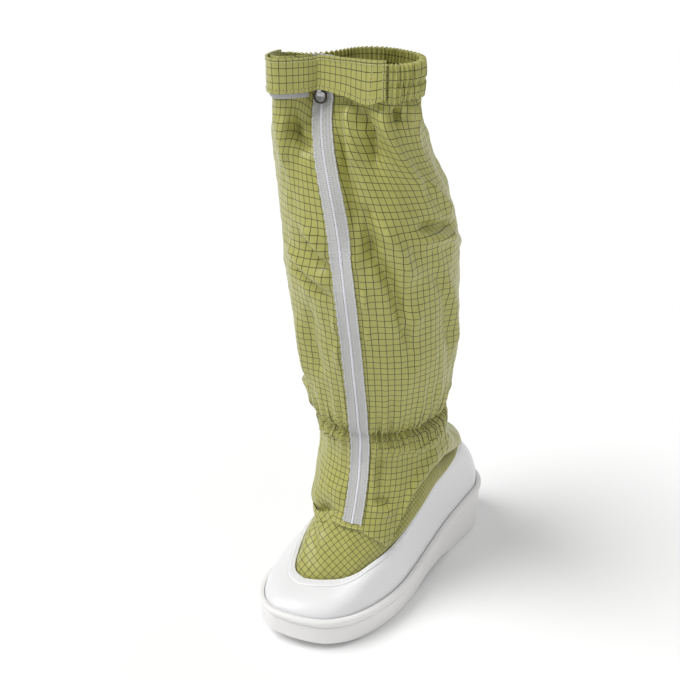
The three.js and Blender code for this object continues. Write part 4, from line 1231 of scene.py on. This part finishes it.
def makeTapes(grid, normals):
    edges = []
    for name, inner, outer, puckered in (("zip_tape_outer", 1, 2, 0.35), ("zip_tape_inner", -1, -2, 1.0)):
        a, b = grid[:, inner], grid[:, outer]
        na, nb = normals[:, inner], normals[:, outer]
        along = np.concatenate([[0], np.cumsum(np.linalg.norm(np.diff(a, axis=0), axis=1))])
        ripple = np.sin(2 * math.pi * (along + 3 * np.sin(along / 31)) / zipDetail["puckerPitch"])
        puck = zipDetail["pucker"] * ripple * puckered
        low, high, uvs = [], [], []
        for k in np.linspace(zipDetail["tapeInside"], 1, zipDetail["tapeColumns"]):
            n = unit(na * (1 - k) + nb * k)
            flat = a + (b - a) * k * (1 + 0.07 * (puck * (k > 0.99)))[:, None]
            lift = zipDetail["tapeLift"] + np.abs(puck) * k**2
            low.append(flat + n * lift[:, None])
            high.append(flat + n * (lift + zipDetail["tapeThickness"])[:, None])
            uvs.append(np.stack([np.full(len(along), k * zipDetail["tapeWidth"]), along], -1))
        low, high, uvs = (np.stack(g, 1) for g in (low, high, uvs))
        if inner < 0:
            low, high, uvs = low[:, ::-1], high[:, ::-1], uvs[:, ::-1]
        tape = shellPiece(name + "_cloth", high, low, tapeLook, uvs)
        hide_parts(name)
        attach(tape, "boot")
        k = zipDetail["stitchAt"]
        lift = zipDetail["tapeLift"] + zipDetail["tapeThickness"] + np.abs(puck) * k**2
        edges.append((a + (b - a) * k + unit(na + nb) * (lift + 0.02)[:, None], unit(b - a)))
    stitches = repeatPieces("tape_stitches", edges, zipDetail["stitchSpacing"], zipDetail["stitch"],
                            whiteThreadLook)
    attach(stitches, "boot")


def makeCoil(grid, normals):
    a, b = grid[:, 1], grid[:, -1]
    middle = (a + b) / 2
    across = unit(a - b)
    out = unit(normals[:, 1] + normals[:, -1])
    columns, lift = zipDetail["coilColumns"], zipDetail["coilLift"]
    crown = zipDetail["coilHeight"] * zipDetail["coilCrown"]
    low, high = [], []
    for t in np.linspace(math.pi, 0, columns):
        side = across * (zipDetail["coilHalf"] * math.cos(t))
        low.append(middle + side + out * (lift - 0.1))
        high.append(middle + side + out * (lift + crown * (0.35 + 0.65 * math.sin(t))))
    low, high = np.stack(low, 1), np.stack(high, 1)
    along = np.concatenate([[0], np.cumsum(np.linalg.norm(np.diff(middle, axis=0), axis=1))])
    uvs = np.stack([np.broadcast_to(np.linspace(0, zipDetail["coilAround"], columns), low.shape[:2]),
                    np.broadcast_to(along[:, None], low.shape[:2])], -1)
    strip = shellPiece("zip_coil_core", high, low, coilLook, uvs)
    crest = middle + out * (lift + zipDetail["coilHeight"] * 0.5)
    teeth = repeatPieces("zip_coil_turns", [(crest, across)], zipDetail["pitch"], zipDetail["tooth"],
                         coilLook, vary=0.02)
    for piece in (strip, teeth):
        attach(piece, "boot")
    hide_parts("zip_coil")
    print("zip made,", len(teeth.data.polygons), "faces of coil")


def makePull():
    centre = np.array(pull["place"]) - up * pull["radius"]
    across, out = np.array(pull["across"]), np.array(pull["out"])
    rings = []
    for t in np.arange(pull["around"]) * 2 * math.pi / pull["around"]:
        way = across * math.cos(t) + up * math.sin(t)
        s = np.arange(pull["section"]) * 2 * math.pi / pull["section"]
        rings.append(centre + way * pull["radius"] + pull["wire"] * (
            np.cos(s)[:, None] * way + np.sin(s)[:, None] * out))
    rings = np.array(rings)
    rows, columns = rings.shape[:2]
    faces = gridFaces(rows, columns, closed=True).tolist() + closingFaces(rows, columns)
    ring = makePiece("ring_pull", rings, faces, pullLook)
    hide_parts("zip_pull")
    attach(ring, "zip_pull")


# Collar: its level rows, on which strap, cuff and patch lie
def collarGrid(turns, heights):
    turn, height = np.meshgrid(turns, heights)
    points = ringPoint(height / legSize["height"], turn)
    side = ringPoint(1.0, turns + 7) - ringPoint(1.0, turns - 7)
    ways = unit(np.cross(side, up))
    return turn, height, points, np.broadcast_to(ways, points.shape)


# Front strap
strap = {
    "from": -97.0, "to": 66.0, "low": 408.0, "high": 432.0, "standoff": 8.4, "thickness": 1.1,
    "columns": 190, "rows": 22, "hem": 3.2, "hemRaise": 0.4, "box": 13.0, "boxRaise": 0.7,
    "ripple": 0.5, "rippleSize": 26.0, "seed": 2.0, "stitchInset": 2.3, "stitchLift": 0.08,
    "stitchSpacing": 2.3, "stitch": (0.15, 0.2, 0.85), "gridShift": 2.4, "crease": 1.4, "creaseTurn": 56,
}
# how far it stands off the collar: turn, share
strapStand = [
    (-97, 0.1), (-70, 0.16), (-45, 0.48), (-20, 0.88), (0, 1), (20, 0.76), (45, 0.31), (66, 0.12),
]
# how far its edges leave their level: turn, top, bottom
strapEdges = [
    (-97, -3.4, -1.4), (-45, -2.2, -0.4), (0, -0.8, 2.2), (30, 0.2, 0.8), (50, 0.9, -2.6), (66, 1.3, 1.4),
]


def makeStrap():
    turns = np.linspace(strap["from"], strap["to"], strap["columns"])
    heights = np.linspace(strap["low"], strap["high"], strap["rows"])
    turn, height, points, ways = collarGrid(turns, heights)
    table = np.array(strapStand)
    off = strap["standoff"] * curveAt(table[:, 0], table[:, 1], turn)
    share = (height - strap["low"]) / (strap["high"] - strap["low"])
    a = turn * leg["perDegree"]
    ripple = strap["ripple"] * dapple(a, height, strap["rippleSize"], strap["seed"])
    off = off + ripple * (0.5 + 0.5 * (1 - share))
    off = off + 0.5 * (1 - share) ** 3 * smooth((turn + 40) / 60) + 0.4
    ends = np.minimum(height - strap["low"], strap["high"] - height)
    hem = strap["hemRaise"] * smooth((strap["hem"] - ends) / 0.8)
    box = strap["boxRaise"] * smooth((turn - (strap["to"] - strap["box"])) / 1.5)
    edges = np.array(strapEdges)
    topShift, lowShift = (curveAt(edges[:, 0], edges[:, c], turn) for c in (1, 2))
    shift = lowShift + (topShift - lowShift) * share
    beside = (turn - strap["creaseTurn"]) + (share - 0.2) * 12
    fold = strap["crease"] * np.exp(-(beside / 3.0) ** 2) * (1 - share)
    inner = points + ways * off[..., None] + up * shift[..., None]
    outer = inner + ways * (strap["thickness"] + hem + box + fold)[..., None]
    uvs = np.stack([a, height - strap["low"] - strap["gridShift"]], -1)
    band = shellPiece("front_strap", outer, inner, clothLook, uvs)
    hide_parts("closure_strap")
    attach(band, "boot")
    step = (strap["high"] - strap["low"]) / (strap["rows"] - 1)
    lowRow = round(strap["stitchInset"] / step)
    topRow = strap["rows"] - 1 - lowRow
    sewn = outer + ways * strap["stitchLift"]
    lines = [(sewn[i], ways[i]) for i in (lowRow, topRow)]
    for at in (strap["to"] - 1.8, strap["to"] - strap["box"] + 2.5):
        j = int(np.argmin(np.abs(turns - at)))
        lines.append((sewn[lowRow:topRow + 1, j], ways[lowRow:topRow + 1, j]))
    stitches = repeatPieces("strap_stitches", lines, strap["stitchSpacing"], strap["stitch"], threadLook)
    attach(stitches, "boot")
    return band


# Gathered cuff round the sides and back
cuff = {
    "from": 68.0, "to": 256.0, "columns": 460, "rows": 19, "inside": 0.9, "wall": 1.9, "bulge": 2.3,
    "rib": 1.15, "ribPitch": 4.3, "drift": 2.0, "ribSize": 21.0, "seed": 7.0, "closeOver": 5,
    "ruffle": 0.45, "ruffleOver": 0.1, "dip": 2.0, "dipTurn": 72, "gridStretch": 1.7, "thinnest": 0.35,
}


def makeCuff():
    turns = np.linspace(cuff["from"], cuff["to"], cuff["columns"])
    heights = np.linspace(strap["low"], strap["high"], cuff["rows"])
    turn, height, points, ways = collarGrid(turns, heights)
    share = (height - strap["low"]) / (strap["high"] - strap["low"])
    a = turn * leg["perDegree"]
    shift = cuff["drift"] * np.sin(a / 17.0) + 1.3 * np.sin(a / 7.3 + 2)
    shift = shift + 0.9 * np.sin(4 * share + a / 11.0)
    ribs = np.cos(2 * math.pi * (a + shift) / cuff["ribPitch"])
    ribs = np.sign(ribs) * np.abs(ribs) ** 0.8
    closing = plateau(turn, cuff["from"], cuff["closeOver"], cuff["to"], cuff["closeOver"])
    depth = cuff["rib"] * (0.75 + 0.25 * dapple(a, height, cuff["ribSize"], cuff["seed"])) * closing
    off = -cuff["inside"] - 0.7 * depth * ribs
    rounded = 0.3 + 0.7 * np.sin(math.pi * np.clip(share * 0.92 + 0.04, 0, 1)) ** 0.7
    middle = 0.55 * np.exp(-((share - 0.5) / 0.07) ** 2)
    lift = cuff["wall"] + cuff["bulge"] * (rounded - middle) * (0.4 + 0.6 * closing) + 1.7 * depth * ribs
    over = cuff["ruffleOver"]
    edge = cuff["ruffle"] * ribs * (np.exp(-((1 - share) / over) ** 2) - 0.8 * np.exp(-(share / over) ** 2))
    sag = rimSag(turn) * smooth(share / 0.6)
    pulled = cuff["dip"] * np.exp(-((turn - cuff["dipTurn"]) / 6.0) ** 2) * (share < 0.3)
    dip = up * (edge - sag - pulled)[..., None]
    inner = points + ways * off[..., None] + dip
    outer = points + ways * (off + np.maximum(lift, cuff["thinnest"]))[..., None] + dip
    uvs = np.stack([a * cuff["gridStretch"], height - strap["low"]], -1)
    casing = shellPiece("gathered_cuff", outer, inner, clothLook, uvs)
    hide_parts("collar_cuff")
    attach(casing, "boot")
    return casing


# Hook patch under the strap's free end
patch = {
    "from": -68.0, "to": -22.0, "low": 403.5, "high": 420.0, "columns": 60, "rows": 14, "lift": 0.45,
    "thickness": 1.2, "edge": 1.5,
}


def makePatch():
    turns = np.linspace(patch["from"], patch["to"], patch["columns"])
    heights = np.linspace(patch["low"], patch["high"], patch["rows"])
    turn, height, points, ways = collarGrid(turns, heights)
    inner = points + ways * patch["lift"]
    inward = np.minimum(height - patch["low"], patch["high"] - height)
    edge = np.minimum(inward, patch["edge"]) / patch["edge"]
    outer = points + ways * (patch["lift"] + patch["thickness"] * (0.5 + 0.5 * edge))[..., None]
    uvs = np.stack([turn * leg["perDegree"], height], -1)
    pile = shellPiece("hook_pile", outer, inner, patchLook, uvs)
    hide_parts("hook_patch")
    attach(pile, "boot")


# Stitch lines on the leg and on the upper's rim
seams = {
    "row": 4, "from": -95, "to": 34, "ankle": (153.0, 159.0), "zipClear": 10, "lift": 0.1,
    "spacing": 2.6, "stitch": (0.16, 0.2, 0.9),
    "rimStations": 500, "rimAt": 0.55, "rimLift": 0.05, "rimSpacing": 3.1, "rimStitch": (0.28, 0.34, 1.15),
}


def makeSeams(grid, normals, turns):
    signed = wrapTurn(turns)
    row = seams["row"]
    chosen = [(row, [j for j in np.argsort(signed[row]) if seams["from"] < signed[row][j] < seams["to"]])]
    for height in seams["ankle"]:
        row = int(np.argmin(np.abs(np.median(grid[..., 2], axis=1) - height)))
        chosen.append((row, [j for j in np.argsort(signed[row]) if abs(signed[row][j]) > seams["zipClear"]]))
    lines = [(grid[i][js] + normals[i][js] * seams["lift"], normals[i][js]) for i, js in chosen]
    stitches = repeatPieces("leg_stitches", lines, seams["spacing"], seams["stitch"], threadLook)
    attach(stitches, "boot")
    angles = stationAngles(seams["rimStations"])
    t = 1 - seams["rimAt"] * upperDetail["rimWidth"] / shoe["toeCapLength"]
    way = upperNormal(angles, t)
    rim = upperPoint(angles, t) + way * (upperDetail["rimRaise"] + seams["rimLift"])
    closed, ways = (np.concatenate([g, g[:1]]) for g in (rim, way))
    threads = repeatPieces("rim_stitches", [(closed, ways)], seams["rimSpacing"], seams["rimStitch"],
                           whiteThreadLook)
    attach(threads, "boot")


tube, zipGrid, zipNormals, seamParts = makeTube()
panel = makeVamp()
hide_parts("leg")
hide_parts("leg")
for clothPiece in (tube, panel):
    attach(clothPiece, "boot")
makeTapes(zipGrid, zipNormals)
makeCoil(zipGrid, zipNormals)
makePull()
band = makeStrap()
casing = makeCuff()
makePatch()
makeSeams(*seamParts)

# The slider stays the frame's own, with its finish
slider = bpy.data.objects["zip_slider"]
slider.material_slots[0].material = sliderLook
print("strap, cuff, patch and seams made")
